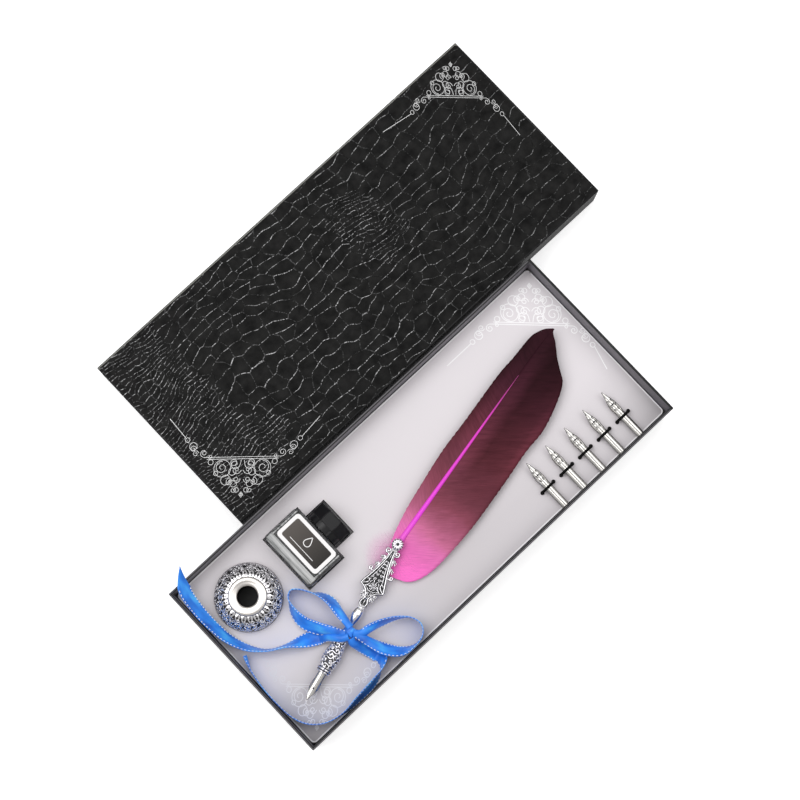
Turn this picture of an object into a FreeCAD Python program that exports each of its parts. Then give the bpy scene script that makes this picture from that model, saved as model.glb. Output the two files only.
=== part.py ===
import FreeCAD, Part
import math
import os
import re

import Sketcher
from FreeCAD import Placement, Rotation, Vector

# Dip pen gift box: an open box base with its insert, the lid beside it, and the writing set inside.
# X runs along the box, Y towards the lid, Z up; the origin is the centre of the base's underside.

# Spare nibs, each with its own loop
SPARE_COUNT = 5

# Driving dimensions, in millimetres and degrees
SIZES = {
    # box base
    "base_length": 300.0,
    "base_width": 127.0,
    "base_height": 40.0,
    "board": 1.2,
    "wrap": 0.2,
    "wrap_lift": 0.3,
    "turn_in": 18.0,
    # insert
    "insert_gap": 0.6,
    "insert_corner": 2.5,
    "foam_base": 9.8,
    "foam_pocket": 11.2,
    "card": 1.5,
    "pocket_gap": 0.5,
    "rest_gap": 0.1,
    # lid, lying beside the base
    "lid_height": 28.0,
    "lid_gap": 0.2,
    "lid_shift": 62.4,
    "lid_apart": 3.0,
    # ink bottle, lying on its back with its cap towards +X
    "bottle_from_left": 62.1,
    "bottle_y_share": 0.4717,
    "bottle_tall": 28.2,
    "bottle_wide": 41.4,
    "bottle_deep": 27.0,
    "bottle_corner": 4.0,
    "bottle_edge": 2.0,
    "glass": 2.4,
    "heel": 6.5,
    "neck_radius": 8.6,
    "neck_bore": 6.0,
    "label_up": 7.8,
    "label_tall": 18.6,
    "label_wide": 34.7,
    "label_corner": 2.4,
    "label_thick": 0.15,
    # bottle cap
    "cap_flats": 24.2,
    "cap_long": 12.5,
    "cap_top": 2.0,
    "cap_collar": 4.0,
    "cap_collar_radius": 12.7,
    "cap_stand": 0.8,
    "cap_travel": 1.5,
    "thread_gap": 0.7,
    "liner": 1.0,
    "liner_gap": 0.2,
    "seat_gap": 0.1,
    # pen stand
    "stand_from_left": 31.8,
    "stand_y_share": 0.4911,
    "stand_tall": 27.4,
    "stand_radius": 20.7,
    "belly": 15.0,
    "foot_radius": 13.5,
    "foot_tall": 1.2,
    "felt": 1.0,
    "felt_inset": 1.0,
    "rim_radius": 11.75,
    "rim_tall": 2.6,
    "hole_radius": 6.25,
    "cup_wall": 1.2,
    "cup_deep": 18.0,
    "cup_gap": 0.05,
    # pen, measured along its handle from the nib's tip
    "pen_from_left": 14.9,
    "pen_y_share": -0.6317,
    "pen_turn": 16.3,
    "pen_lie": 5.1,
    "nib_out": 19.4,
    "nib_in": 9.8,
    "nib_radius": 3.1,
    "nib_sheet": 0.35,
    "nib_gap": 0.05,
    "ferrule_long": 12.0,
    "ferrule_wall": 0.3,
    "grip_long": 23.8,
    "grip_radius": 5.0,
    "tenon_long": 6.0,
    "tenon_radius": 1.5,
    "tenon_gap": 0.05,
    "waist_neck": 8.6,
    "waist_radius": 1.7,
    "bulge_long": 13.6,
    "bulge_radius": 3.5,
    "frame_long": 40.0,
    "frame_half": 7.8,
    "frame_thick": 4.4,
    "pad_radius": 3.4,
    "flower_radius": 3.6,
    "flower_tall": 1.8,
    # feather, measured along its shaft from the middle of the flower
    "feather_turn": 11.2,
    "feather_rise": 1.2,
    "shaft_from": 0.6,
    "shaft_short": 14.0,
    "shaft_root": 1.85,
    "shaft_tip": 0.4,
    "quill_gap": 0.05,
    "vane_from": 4.4,
    "tip_room": 16.6,
    "vane_right": 32.0,
    "vane_left": 11.2,
    "vane_thick": 0.8,
    "down_back": 18.0,
    "down_gap": 0.3,
    # ribbon
    "ribbon_wide": 10.0,
    "ribbon_thick": 0.5,
    "band_wide": 7.0,
    "band_gap": 0.05,
    "band_thick": 0.9,
    "knot_long": 8.0,
    "knot_wide": 8.5,
    "knot_tall": 5.0,
    "knot_ahead": 1.5,
    "knot_aside": 1.8,
    "knot_corner": 2.4,
    "knot_edge": 1.6,
    "near_knot": 9.0,
    "bow_left_room": 62.4,
    "bow_front_room": 34.8,
    "bow_back_room": 89.0,
    "bow_bottle_room": 35.6,
    # spare nibs and their elastic loops
    "spare_from_right": 21.8,
    "spare_step": 16.0,
    "spare_long": 35.8,
    "spare_radius": 2.95,
    "spare_sheet": 0.35,
    "spare_wall_gap": 0.6,
    "loop_place": 15.4,
    "loop_span": 9.9,
    "loop_gap": 0.15,
    "loop_slope": 40.0,
    "elastic": 1.6,
    "elastic_bend": 1.0,
    "elastic_deep": 4.0,
    "hole_gap": 0.15,
    # all cuts run past the solid by this much
    "overrun": 1.0,
}

# Places and sizes that follow from the driving dimensions
PLACES = {
    "wall": "board + 2 * wrap",
    "inside_length": "base_length - 2 * wall",
    "inside_width": "base_width - 2 * wall",
    "left_wall": "-inside_length / 2",
    "right_wall": "inside_length / 2",
    "front_wall": "-inside_width / 2",
    "back_wall": "inside_width / 2",
    "bottle_x": "left_wall + bottle_from_left",
    "bottle_y": "bottle_y_share * back_wall",
    "bottle_front": "bottle_y - bottle_wide / 2",
    "stand_x": "left_wall + stand_from_left",
    "stand_y": "stand_y_share * back_wall",
    "pen_x": "left_wall + pen_from_left",
    "pen_y": "pen_y_share * back_wall",
    "insert_length": "inside_length - 2 * insert_gap",
    "insert_width": "inside_width - 2 * insert_gap",
    "pocket_floor": "board + foam_base",
    "card_under": "pocket_floor + foam_pocket",
    "card_top": "card_under + card",
    "lid_length": "base_length + 2 * lid_gap + 2 * (board + wrap)",
    "lid_width": "base_width + 2 * lid_gap + 2 * (board + wrap)",
    "lid_y": "base_width / 2 + lid_apart + lid_width / 2",
    "bottle_z": "pocket_floor + rest_gap + bottle_deep / 2",
    "cap_start": "bottle_x + bottle_tall + cap_stand",
    "cap_end": "cap_start + cap_long",
    "cap_half": "cap_flats / 2",
    "cap_side_half": "cap_half * tan(22.5)",
    "cap_corner": "cap_half / cos(22.5)",
    "cap_bore": "neck_radius + thread_gap",
    "neck_long": "cap_stand + cap_long - cap_top - liner - seat_gap",
    "stand_z": "pocket_floor + rest_gap",
    "shoulder": "stand_tall - rim_tall",
    "foot_top": "felt + foot_tall",
    "cup_bore": "hole_radius + cup_wall + cup_gap",
    "cup_floor": "shoulder - cup_deep",
    "lower_curve": "((stand_radius - foot_radius)^2 + (belly - foot_top)^2) / (2 * (stand_radius - foot_radius))",
    "upper_curve": "((stand_radius - rim_radius)^2 + (shoulder - belly)^2) / (2 * (stand_radius - rim_radius))",
    "pen_z": "card_top + pen_lie",
    "nib_bore": "nib_radius + nib_gap",
    "grip_bore": "nib_bore + ferrule_wall + nib_gap",
    "grip_bore_end": "nib_out + ferrule_long + nib_gap",
    "stem_start": "nib_out + grip_long",
    "tenon_start": "stem_start - tenon_long",
    "bulge_start": "stem_start + waist_neck",
    "frame_start": "bulge_start + bulge_long",
    "frame_end": "frame_start + frame_long",
    "flower_along": "frame_end + pad_radius",
    "flower_x": "pen_x + flower_along * cos(pen_turn)",
    "flower_y": "pen_y + flower_along * sin(pen_turn)",
    "vane_long": "(right_wall - tip_room - flower_x) / cos(feather_turn)",
    "shaft_long": "vane_long - shaft_short",
    "band_middle": "stem_start + waist_neck / 2",
    "knot_along": "band_middle + knot_ahead",
    "knot_x": "pen_x + knot_along * cos(pen_turn) + knot_aside * sin(pen_turn)",
    "knot_y": "pen_y + knot_along * sin(pen_turn) - knot_aside * cos(pen_turn)",
    "band_radius": "waist_radius + band_gap + band_thick",
    "spare_axis": "card_top + rest_gap + spare_radius / 2",
    "spare_first": f"right_wall - spare_from_right - {SPARE_COUNT - 1} * spare_step",
    "spare_end": "front_wall + spare_wall_gap",
    "spare_tip": "spare_end + spare_long",
    "loop_y": "spare_end + loop_place",
}

# Outlines as shares of the sizes named beside them
# grip: along grip_long, out to grip_radius
GRIP_SHARES = (
    (0.0, 0.80), (0.06, 0.90), (0.10, 0.90), (0.13, 0.78), (0.20, 0.84), (0.34, 0.98),
    (0.50, 1.0), (0.62, 0.94), (0.72, 0.80), (0.84, 0.68), (0.93, 0.70), (1.0, 0.56),
)
# bulge between the waist's neck and the frame: along bulge_long, out to bulge_radius
BULGE_SHARES = ((0.0, 0.49), (0.22, 0.66), (0.45, 0.92), (0.62, 1.0), (0.80, 0.88), (0.92, 0.66), (1.0, 0.60))
# one side of the frame: along frame_long, out to frame_half
FRAME_SHARES = (
    (-0.03, 0.24), (0.06, 0.26), (0.14, 0.30), (0.22, 0.38), (0.28, 0.56), (0.32, 1.0), (0.37, 1.0),
    (0.44, 0.86), (0.56, 0.68), (0.72, 0.47), (0.92, 0.24), (1.06, 0.24),
)
# one window of the frame
WINDOW_SHARES = ((0.20, 0.10), (0.34, 0.76), (0.40, 0.76), (0.68, 0.30), (0.84, 0.10))
# feather edges: along vane_long, out to vane_right or vane_left
RIGHT_EDGE_SHARES = (
    (0.08, 0.90), (0.22, 0.97), (0.42, 0.98), (0.56, 0.965), (0.66, 1.0), (0.775, 0.91),
    (0.85, 0.75), (0.93, 0.38),
)
LEFT_EDGE_SHARES = ((0.12, 0.74), (0.21, 0.84), (0.38, 0.99), (0.52, 0.95), (0.73, 0.92), (0.86, 0.69), (0.95, 0.34))
TIP_DROP_SHARE = 0.05
# down at the feather's root: along down_back (ahead of the flower above zero), out to vane_right
DOWN_SHARES = (
    (0.55, 0.05), (0.55, -0.80), (0.0, -0.82), (-0.55, -0.70), (-0.90, -0.45), (-1.0, -0.20),
    (-0.90, 0.10), (-0.40, 0.26), (0.20, 0.24),
)
# nib outline from the tip: along the nib, out to its radius
NIB_SHARES = ((0.0, 0.03), (0.10, 0.28), (0.28, 0.86), (0.36, 0.98), (0.44, 0.90), (0.50, 0.80))
NIB_SHANK_SHARE = 0.80
NIB_SLIT_SHARE = 0.06
NIB_VENT_PLACE_SHARE = 0.30
NIB_VENT_SHARE = 0.22
NIB_OPEN_HALF_ANGLE = 60.0

# Ribbon routes: the middle of the ribbon, along X and Y from the knot and up from the card, then the lean
# of its width from upright in degrees, and the share of its width that is spread there
LEFT_LOOP_ROUTE = (
    (0.9, 5.5, 9.9, 20, 0.5), (2.6, 11.7, 9.1, 24, 0.85), (4.0, 21.1, 7.5, 22, 1),
    (2.0, 28.5, 6.3, 10, 1), (-1.6, 34.0, 5.9, 0, 1), (-4.8, 39.3, 5.7, 0, 1),
    (-9.2, 42.7, 5.6, 0, 1), (-13.8, 39.7, 5.6, 0, 1), (-16.8, 31.6, 5.8, 12, 1),
    (-16.6, 23.1, 6.9, 22, 1), (-12.8, 14.7, 8.3, 24, 1), (-7.6, 9.1, 9.5, 20, 0.75),
    (-4.2, 5.1, 9.9, 20, 0.5),
)
RIGHT_LOOP_ROUTE = (
    (4.6, -4.5, 9.9, 30, 0.5), (10.0, -6.3, 8.9, 30, 0.85), (18.0, -9.3, 7.5, 22, 1),
    (26.5, -13.5, 6.3, 10, 1), (32.8, -19.2, 5.7, 0, 1), (34.4, -26.2, 5.6, 0, 1),
    (30.4, -31.5, 5.6, 0, 1), (22.5, -32.7, 5.7, 8, 1), (14.0, -29.3, 6.3, 22, 1),
    (7.8, -21.3, 7.5, 30, 1), (3.8, -12.3, 8.9, 30, 0.8), (1.4, -6.3, 9.7, 30, 0.5),
)
LEFT_TAIL_ROUTE = (
    (-6.5, 0.4, 9.7, 82, 0.36), (-9.0, 3.7, 8.1, 78, 0.5), (-11.6, 7.3, 3.9, 80, 0.65),
    (-15.8, 10.9, 2.2, 84, 1), (-23.0, 14.5, 3.3, 58, 1), (-33.5, 20.1, 5.4, 14, 1),
    (-44.0, 26.1, 5.5, 8, 1), (-52.0, 35.6, 5.9, 44, 1), (-56.0, 47.1, 7.3, 50, 1),
    (-57.0, 60.1, 10.7, 55, 1), (-56.2, 73.1, 14.9, 62, 1), (-54.4, 84.6, 18.3, 70, 1),
    (-52.2, 93.6, 19.3, 72, 0.92), (-50.6, 100.7, 19.1, 74, 0.16),
)
RIGHT_TAIL_ROUTE = (
    (-2.9, -5.9, 7.5, 70, 0.45), (-1.4, -10.1, 4.3, 80, 0.7), (1.2, -15.5, 2.1, 86, 0.9),
    (3.2, -21.3, 1.3, 88, 1), (2.2, -25.6, 4.4, 38, 1), (-3.0, -30.0, 5.6, 12, 1),
    (-12.0, -32.5, 5.7, 5, 1), (-24.0, -33.3, 5.7, 0, 1), (-36.5, -32.9, 5.7, 0, 1),
    (-48.0, -29.5, 5.7, 0, 1), (-56.2, -22.5, 5.7, 0, 1), (-60.4, -12.5, 5.7, 0, 1),
    (-61.4, 0.1, 5.7, 0, 1), (-61.0, 13.1, 5.7, 0, 1), (-59.2, 24.6, 5.7, 0, 1),
    (-56.8, 33.1, 5.7, 0, 0.9),
)

doc = FreeCAD.newDocument("DipPenGiftBox")
parts = {}


# Spreadsheets
def fill_sheet(name, cells):
    sheet = doc.addObject("Spreadsheet::Sheet", name)
    for row, (alias, text) in enumerate(cells.items(), start=1):
        sheet.set(f"A{row}", alias)
        sheet.set(f"B{row}", text)
        sheet.setAlias(f"B{row}", alias)
    doc.recompute()
    return sheet


def formula(text):
    """The same formula with each named size led by the name of its sheet."""

    def with_sheet(match):
        word = match.group()
        if word in SIZES:
            return "Sizes." + word
        if word in PLACES:
            return "Places." + word
        return word

    return re.sub(r"[a-z_]\w*", with_sheet, str(text))


sizes_sheet = fill_sheet("Sizes", {name: str(value) for name, value in SIZES.items()})
places_sheet = fill_sheet("Places", {name: "=" + formula(text) for name, text in PLACES.items()})


def size(name):
    return sizes_sheet.get(name) if name in SIZES else places_sheet.get(name)


def value(text):
    return float(sizes_sheet.evalExpression(formula(text)))


# Building blocks
def keep(label, thing):
    thing.Label = label
    parts[label] = thing
    return thing


def place(thing, x, y, z, turn="0", pitch="0"):
    """Puts a thing at a point, pitched about Y and then turned about Z."""
    spin = f"rotation(vector(0; 0; 1); {turn}) * rotation(vector(0; 1; 0); {pitch})"
    thing.setExpression("Placement", formula(f"placement(vector({x}; {y}; {z}); {spin})"))


def block(name, low, high):
    """A box between two corners, each three formulas."""
    solid = doc.addObject("Part::Box", name)
    for side, start, end in zip(("Length", "Width", "Height"), low, high):
        solid.setExpression(side, formula(f"({end}) - ({start})"))
    place(solid, *low)
    return solid


def centred_block(name, x, y, length, width, low, high):
    """A box centred on x, y, between two heights."""
    near = (f"{x} - ({length}) / 2", f"{y} - ({width}) / 2", low)
    far = (f"{x} + ({length}) / 2", f"{y} + ({width}) / 2", high)
    return block(name, near, far)


def join(kind, name, base, tool):
    solid = doc.addObject("Part::" + kind, name)
    solid.Base = base
    solid.Tool = tool
    return solid


def new_sketch(body, role):
    sketch = body.newObject("Sketcher::SketchObject", body.Name + "_sketch")
    plane = next(item for item in body.Origin.OriginFeatures if item.Role == role)
    sketch.AttachmentSupport = [(plane, "")]
    sketch.MapMode = "FlatFace"
    return sketch


def pin(sketch, geometry, point, x, y):
    """Holds a point of the sketch at two formulas."""
    for kind, text in (("DistanceX", x), ("DistanceY", y)):
        index = sketch.addConstraint(Sketcher.Constraint(kind, -1, 1, geometry, point, value(text)))
        sketch.setExpression(f"Constraints[{index}]", formula(text))


def hold_radius(sketch, geometry, radius):
    index = sketch.addConstraint(Sketcher.Constraint("Radius", geometry, value(radius)))
    sketch.setExpression(f"Constraints[{index}]", formula(radius))


def left_arc(start, end, radius):
    """The arc of less than half a turn that turns left from start to end."""
    chord = end - start
    rise = math.sqrt(max(radius**2 - chord.Length**2 / 4, 0))
    side = Vector(-chord.y, chord.x, 0).normalize()
    centre = (start + end) * 0.5 + side * rise
    angles = [math.atan2(spot.y - centre.y, spot.x - centre.x) for spot in (start, end)]
    return Part.ArcOfCircle(Part.Circle(centre, Vector(0, 0, 1), radius), *angles)


def outline(sketch, corners):
    """A closed line through corners (x, y); an arc leads to a corner (x, y, radius, turn)."""
    points = [Vector(value(corner[0]), value(corner[1]), 0) for corner in corners]
    first = sketch.GeometryCount
    ends = []
    for index, corner in enumerate(corners):
        start = points[index - 1]
        end = points[index]
        if len(corner) == 2:
            sketch.addGeometry(Part.LineSegment(start, end), False)
            ends.append((1, 2))
        elif corner[3] == "left":
            sketch.addGeometry(left_arc(start, end, value(corner[2])), False)
            ends.append((1, 2))
        else:
            sketch.addGeometry(left_arc(end, start, value(corner[2])), False)
            ends.append((2, 1))
    for index, corner in enumerate(corners):
        geometry = first + index
        following = (index + 1) % len(corners)
        finish = ends[index][1]
        link = Sketcher.Constraint("Coincident", geometry, finish, first + following, ends[following][0])
        sketch.addConstraint(link)
        pin(sketch, geometry, finish, corner[0], corner[1])
        if len(corner) > 2:
            hold_radius(sketch, geometry, corner[2])


def rounded_rectangle(sketch, x, y, length, width, corner):
    half_x = f"({length}) / 2"
    half_y = f"({width}) / 2"
    inner_x = f"({half_x} - {corner})"
    inner_y = f"({half_y} - {corner})"
    outline(
        sketch,
        (
            (f"{x} + {inner_x}", f"{y} - {half_y}"),
            (f"{x} + {half_x}", f"{y} - {inner_y}", corner, "left"),
            (f"{x} + {half_x}", f"{y} + {inner_y}"),
            (f"{x} + {inner_x}", f"{y} + {half_y}", corner, "left"),
            (f"{x} - {inner_x}", f"{y} + {half_y}"),
            (f"{x} - {half_x}", f"{y} + {inner_y}", corner, "left"),
            (f"{x} - {half_x}", f"{y} - {inner_y}"),
            (f"{x} - {inner_x}", f"{y} - {half_y}", corner, "left"),
        ),
    )


def circle(sketch, x, y, radius):
    centre = Vector(value(x), value(y), 0)
    geometry = sketch.addGeometry(Part.Circle(centre, Vector(0, 0, 1), value(radius)), False)
    pin(sketch, geometry, 3, x, y)
    hold_radius(sketch, geometry, radius)


def new_body(name):
    return doc.addObject("PartDesign::Body", name)


def add_feature(body, kind, sketch, length=None, middle=False, back=False):
    """A pad or pocket of a sketch: of a length, or right through both ways."""
    feature = body.newObject("PartDesign::" + kind, body.Name + "_" + kind.lower())
    feature.Profile = sketch
    if length is None:
        feature.Type = "ThroughAll"
    else:
        feature.setExpression("Length", formula(length))
    feature.Midplane = middle or length is None
    feature.Reversed = back
    body.Tip = feature
    return feature


def pad(body, sketch, length, middle=False):
    return add_feature(body, "Pad", sketch, length, middle)


def pocket(body, sketch, length=None, back=False):
    return add_feature(body, "Pocket", sketch, length, back=back)


def revolve(name, role, axis, corners):
    """A body turned from a half outline about one of its sketch's own axes."""
    body = new_body(name)
    sketch = new_sketch(body, role)
    outline(sketch, corners)
    turned = body.newObject("PartDesign::Revolution", name + "_turned")
    turned.Profile = sketch
    turned.ReferenceAxis = (sketch, [axis])
    turned.Angle = 360.0
    body.Tip = turned
    return body


def round_edges(body, radius, wanted):
    """Rounds the edges of the body so far whose middle the test wants."""
    doc.recompute()
    base = body.Tip
    names = []
    for number, edge in enumerate(base.Shape.Edges, start=1):
        if wanted(edge):
            names.append(f"Edge{number}")
    rounded = body.newObject("PartDesign::Fillet", body.Name + "_rounded")
    rounded.Base = (base, names)
    rounded.setExpression("Radius", formula(radius))
    body.Tip = rounded


# Boards and paper of the base
def base_boards():
    board_length = "base_length - 2 * wrap"
    board_width = "base_width - 2 * wrap"
    board_top = "base_height - wrap"
    floor = centred_block("base_floor", "0", "0", board_length, board_width, "0", "board")
    keep("base_floor", floor)
    for label, side in (("base_wall_back", "1"), ("base_wall_front", "-1")):
        middle = f"{side} * (base_width / 2 - wrap - board / 2)"
        wall = centred_block(label, "0", middle, board_length, "board", "board", board_top)
        keep(label, wall)
    for label, side in (("base_wall_right", "1"), ("base_wall_left", "-1")):
        middle = f"{side} * (base_length / 2 - wrap - board / 2)"
        wall = centred_block(label, middle, "0", "board", f"{board_width} - 2 * board", "board", board_top)
        keep(label, wall)


def base_paper():
    board_length = "base_length - 2 * wrap"
    board_width = "base_width - 2 * wrap"
    under_rim = "base_height - wrap"
    past_rim = "base_height + overrun"
    outside = centred_block("wrap_outside", "0", "0", "base_length", "base_width", "wrap_lift", "base_height")
    boards = centred_block("wrap_boards", "0", "0", board_length, board_width, "-overrun", under_rim)
    inner_length = f"{board_length} - 2 * board"
    inner_width = f"{board_width} - 2 * board"
    turned = centred_block(
        "wrap_turned", "0", "0", inner_length, inner_width, "base_height - turn_in", under_rim
    )
    hollow = centred_block("wrap_hollow", "0", "0", "inside_length", "inside_width", "-overrun", past_rim)
    skin = join("Cut", "wrap_skin", outside, boards)
    sheet = join("Fuse", "wrap_sheet", skin, turned)
    keep("base_wrap", join("Cut", "base_wrap", sheet, hollow))


# Insert: two foam layers and a card, the upper two cut out for the bottle and the stand
def pocket_outlines(sketch):
    body_half = "(bottle_wide / 2 + pocket_gap)"
    cap_half = "(cap_corner + pocket_gap)"
    back = "bottle_x - pocket_gap"
    shoulder = "bottle_x + bottle_tall + pocket_gap"
    front = "cap_end + cap_travel + pocket_gap"
    outline(
        sketch,
        (
            (back, f"bottle_y - {body_half}"),
            (shoulder, f"bottle_y - {body_half}"),
            (shoulder, f"bottle_y - {cap_half}"),
            (front, f"bottle_y - {cap_half}"),
            (front, f"bottle_y + {cap_half}"),
            (shoulder, f"bottle_y + {cap_half}"),
            (shoulder, f"bottle_y + {body_half}"),
            (back, f"bottle_y + {body_half}"),
        ),
    )
    circle(sketch, "stand_x", "stand_y", "stand_radius + pocket_gap")
    for number in range(SPARE_COUNT):
        for side in ("-1", "1"):
            across = f"spare_first + {number} * spare_step + {side} * loop_span / 2"
            circle(sketch, across, "loop_y", "elastic / 2 + hole_gap")


def insert_layer(label, low, thickness, cut_out):
    body = new_body(label)
    sketch = new_sketch(body, "XY_Plane")
    rounded_rectangle(sketch, "0", "0", "insert_length", "insert_width", "insert_corner")
    pad(body, sketch, thickness)
    if cut_out:
        cuts = new_sketch(body, "XY_Plane")
        pocket_outlines(cuts)
        pocket(body, cuts)
    place(body, "0", "0", low)
    keep(label, body)


# Lid: top, four walls and the embossed paper over them
def lid():
    board_length = "lid_length - 2 * wrap"
    board_width = "lid_width - 2 * wrap"
    board_top = "lid_height - wrap"
    under_top = f"{board_top} - board"
    top = centred_block("lid_top", "lid_shift", "lid_y", board_length, board_width, under_top, board_top)
    keep("lid_top", top)
    for label, side in (("lid_wall_back", "1"), ("lid_wall_front", "-1")):
        middle = f"lid_y + {side} * (lid_width / 2 - wrap - board / 2)"
        wall = centred_block(label, "lid_shift", middle, board_length, "board", "0", under_top)
        keep(label, wall)
    for label, side in (("lid_wall_right", "1"), ("lid_wall_left", "-1")):
        middle = f"lid_shift + {side} * (lid_length / 2 - wrap - board / 2)"
        wall = centred_block(label, middle, "lid_y", "board", f"{board_width} - 2 * board", "0", under_top)
        keep(label, wall)
    outside = centred_block("lid_outside", "lid_shift", "lid_y", "lid_length", "lid_width", "wrap_lift", "lid_height")
    boards = centred_block("lid_boards", "lid_shift", "lid_y", board_length, board_width, "-overrun", board_top)
    keep("lid_wrap", join("Cut", "lid_wrap", outside, boards))


# Ink bottle
def bottle_prism(name, wide, deep, corner, tall, neck, reach):
    """A rounded prism along X with a round neck on its end."""
    body = new_body(name)
    sketch = new_sketch(body, "YZ_Plane")
    rounded_rectangle(sketch, "0", "0", wide, deep, corner)
    pad(body, sketch, tall)
    length = value(tall)

    def at_an_end(edge):
        box = edge.BoundBox
        flat = box.XLength < size("seat_gap")
        return flat and min(abs(box.XMin), abs(box.XMin - length)) < size("seat_gap")

    round_edges(body, "bottle_edge", at_an_end)
    ring = new_sketch(body, "YZ_Plane")
    circle(ring, "0", "0", neck)
    pad(body, ring, reach)
    return body


def ink_bottle():
    outside = bottle_prism(
        "bottle_outside", "bottle_wide", "bottle_deep", "bottle_corner", "bottle_tall", "neck_radius",
        "bottle_tall + neck_long",
    )
    place(outside, "bottle_x", "bottle_y", "bottle_z")
    hollow_tall = "bottle_tall - heel - glass"
    hollow = bottle_prism(
        "bottle_hollow", "bottle_wide - 2 * glass", "bottle_deep - 2 * glass", "bottle_corner", hollow_tall,
        "neck_bore", "bottle_tall - heel + neck_long + overrun",
    )
    place(hollow, "bottle_x + heel", "bottle_y", "bottle_z")
    keep("bottle_glass", join("Cut", "bottle_glass", outside, hollow))
    level = centred_block(
        "ink_level", f"bottle_x + heel + ({hollow_tall}) / 2", "bottle_y", hollow_tall, "bottle_wide",
        "bottle_z - bottle_deep / 2", "bottle_z + bottle_deep / 2",
    )
    keep("ink", join("Common", "ink", hollow, level))
    label = new_body("bottle_label")
    sketch = new_sketch(label, "XY_Plane")
    rounded_rectangle(sketch, "0", "0", "label_tall", "label_wide", "label_corner")
    pad(label, sketch, "label_thick")
    place(label, "bottle_x + label_up + label_tall / 2", "bottle_y", "bottle_z + bottle_deep / 2")
    keep("bottle_label", label)


def bottle_cap():
    cap = new_body("bottle_cap")
    sketch = new_sketch(cap, "YZ_Plane")
    outline(
        sketch,
        (
            ("cap_half", "-cap_side_half"), ("cap_half", "cap_side_half"),
            ("cap_side_half", "cap_half"), ("-cap_side_half", "cap_half"),
            ("-cap_half", "cap_side_half"), ("-cap_half", "-cap_side_half"),
            ("-cap_side_half", "-cap_half"), ("cap_side_half", "-cap_half"),
        ),
    )
    pad(cap, sketch, "cap_long")
    ring = new_sketch(cap, "YZ_Plane")
    circle(ring, "0", "0", "cap_collar_radius")
    pad(cap, ring, "cap_collar")
    bore = new_sketch(cap, "YZ_Plane")
    circle(bore, "0", "0", "cap_bore")
    pocket(cap, bore, "cap_long - cap_top", back=True)
    place(cap, "cap_start", "bottle_y", "bottle_z")
    keep("bottle_cap", cap)
    disc = doc.addObject("Part::Cylinder", "cap_liner")
    disc.setExpression("Radius", formula("cap_bore - liner_gap"))
    disc.setExpression("Height", formula("liner"))
    place(disc, "cap_end - cap_top - liner", "bottle_y", "bottle_z", pitch="90")
    keep("cap_liner", disc)


# Pen stand: parts turned about one upright axis
def pen_stand():
    half_rim = "rim_tall / 2"
    turned = {
        "stand_felt": (("foot_radius - felt_inset", "0"), ("foot_radius - felt_inset", "felt"), ("0", "felt"), ("0", "0")),
        "stand_body": (
            ("foot_radius", "felt"),
            ("foot_radius", "foot_top"),
            ("stand_radius", "belly", "lower_curve", "left"),
            ("rim_radius", "shoulder", "upper_curve", "left"),
            ("cup_bore", "shoulder"),
            ("cup_bore", "cup_floor"),
            ("0", "cup_floor"),
            ("0", "felt"),
        ),
        "stand_cup": (
            ("cup_bore - cup_gap", "cup_floor"),
            ("cup_bore - cup_gap", "shoulder"),
            ("hole_radius", "shoulder"),
            ("hole_radius", "cup_floor + cup_wall"),
            ("0", "cup_floor + cup_wall"),
            ("0", "cup_floor"),
        ),
        "stand_rim": (
            ("rim_radius", "shoulder"),
            ("rim_radius", f"shoulder + {half_rim}"),
            (f"rim_radius - {half_rim}", "stand_tall", half_rim, "left"),
            (f"hole_radius + {half_rim}", "stand_tall"),
            ("hole_radius", f"shoulder + {half_rim}", half_rim, "left"),
            ("hole_radius", "shoulder"),
        ),
    }
    for label, corners in turned.items():
        body = revolve(label, "XZ_Plane", "V_Axis", corners)
        place(body, "stand_x", "stand_y", "stand_z")
        keep(label, body)


# Pen handle: parts turned about the pen's own axis, with the nib's tip at its start
def on_pen(thing, lift="0"):
    place(thing, "pen_x", "pen_y", f"pen_z + {lift}", turn="pen_turn")


def pen_handle():
    grip_outside = [(f"nib_out + {along} * grip_long", f"{out} * grip_radius") for along, out in GRIP_SHARES]
    grip_inside = [
        ("stem_start", "tenon_radius + tenon_gap"),
        ("tenon_start", "tenon_radius + tenon_gap"),
        ("tenon_start", "0"),
        ("grip_bore_end", "0"),
        ("grip_bore_end", "grip_bore"),
        ("nib_out", "grip_bore"),
    ]
    grip = revolve("pen_grip", "XY_Plane", "H_Axis", grip_outside + grip_inside)
    sleeve_outer = "grip_bore - nib_gap"
    sleeve_end = "nib_out + ferrule_long"
    ferrule = revolve(
        "nib_ferrule", "XY_Plane", "H_Axis",
        (("nib_out", "nib_bore"), (sleeve_end, "nib_bore"), (sleeve_end, sleeve_outer), ("nib_out", sleeve_outer)),
    )
    for label, body in (("pen_grip", grip), ("nib_ferrule", ferrule)):
        on_pen(body)
        keep(label, body)


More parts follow.
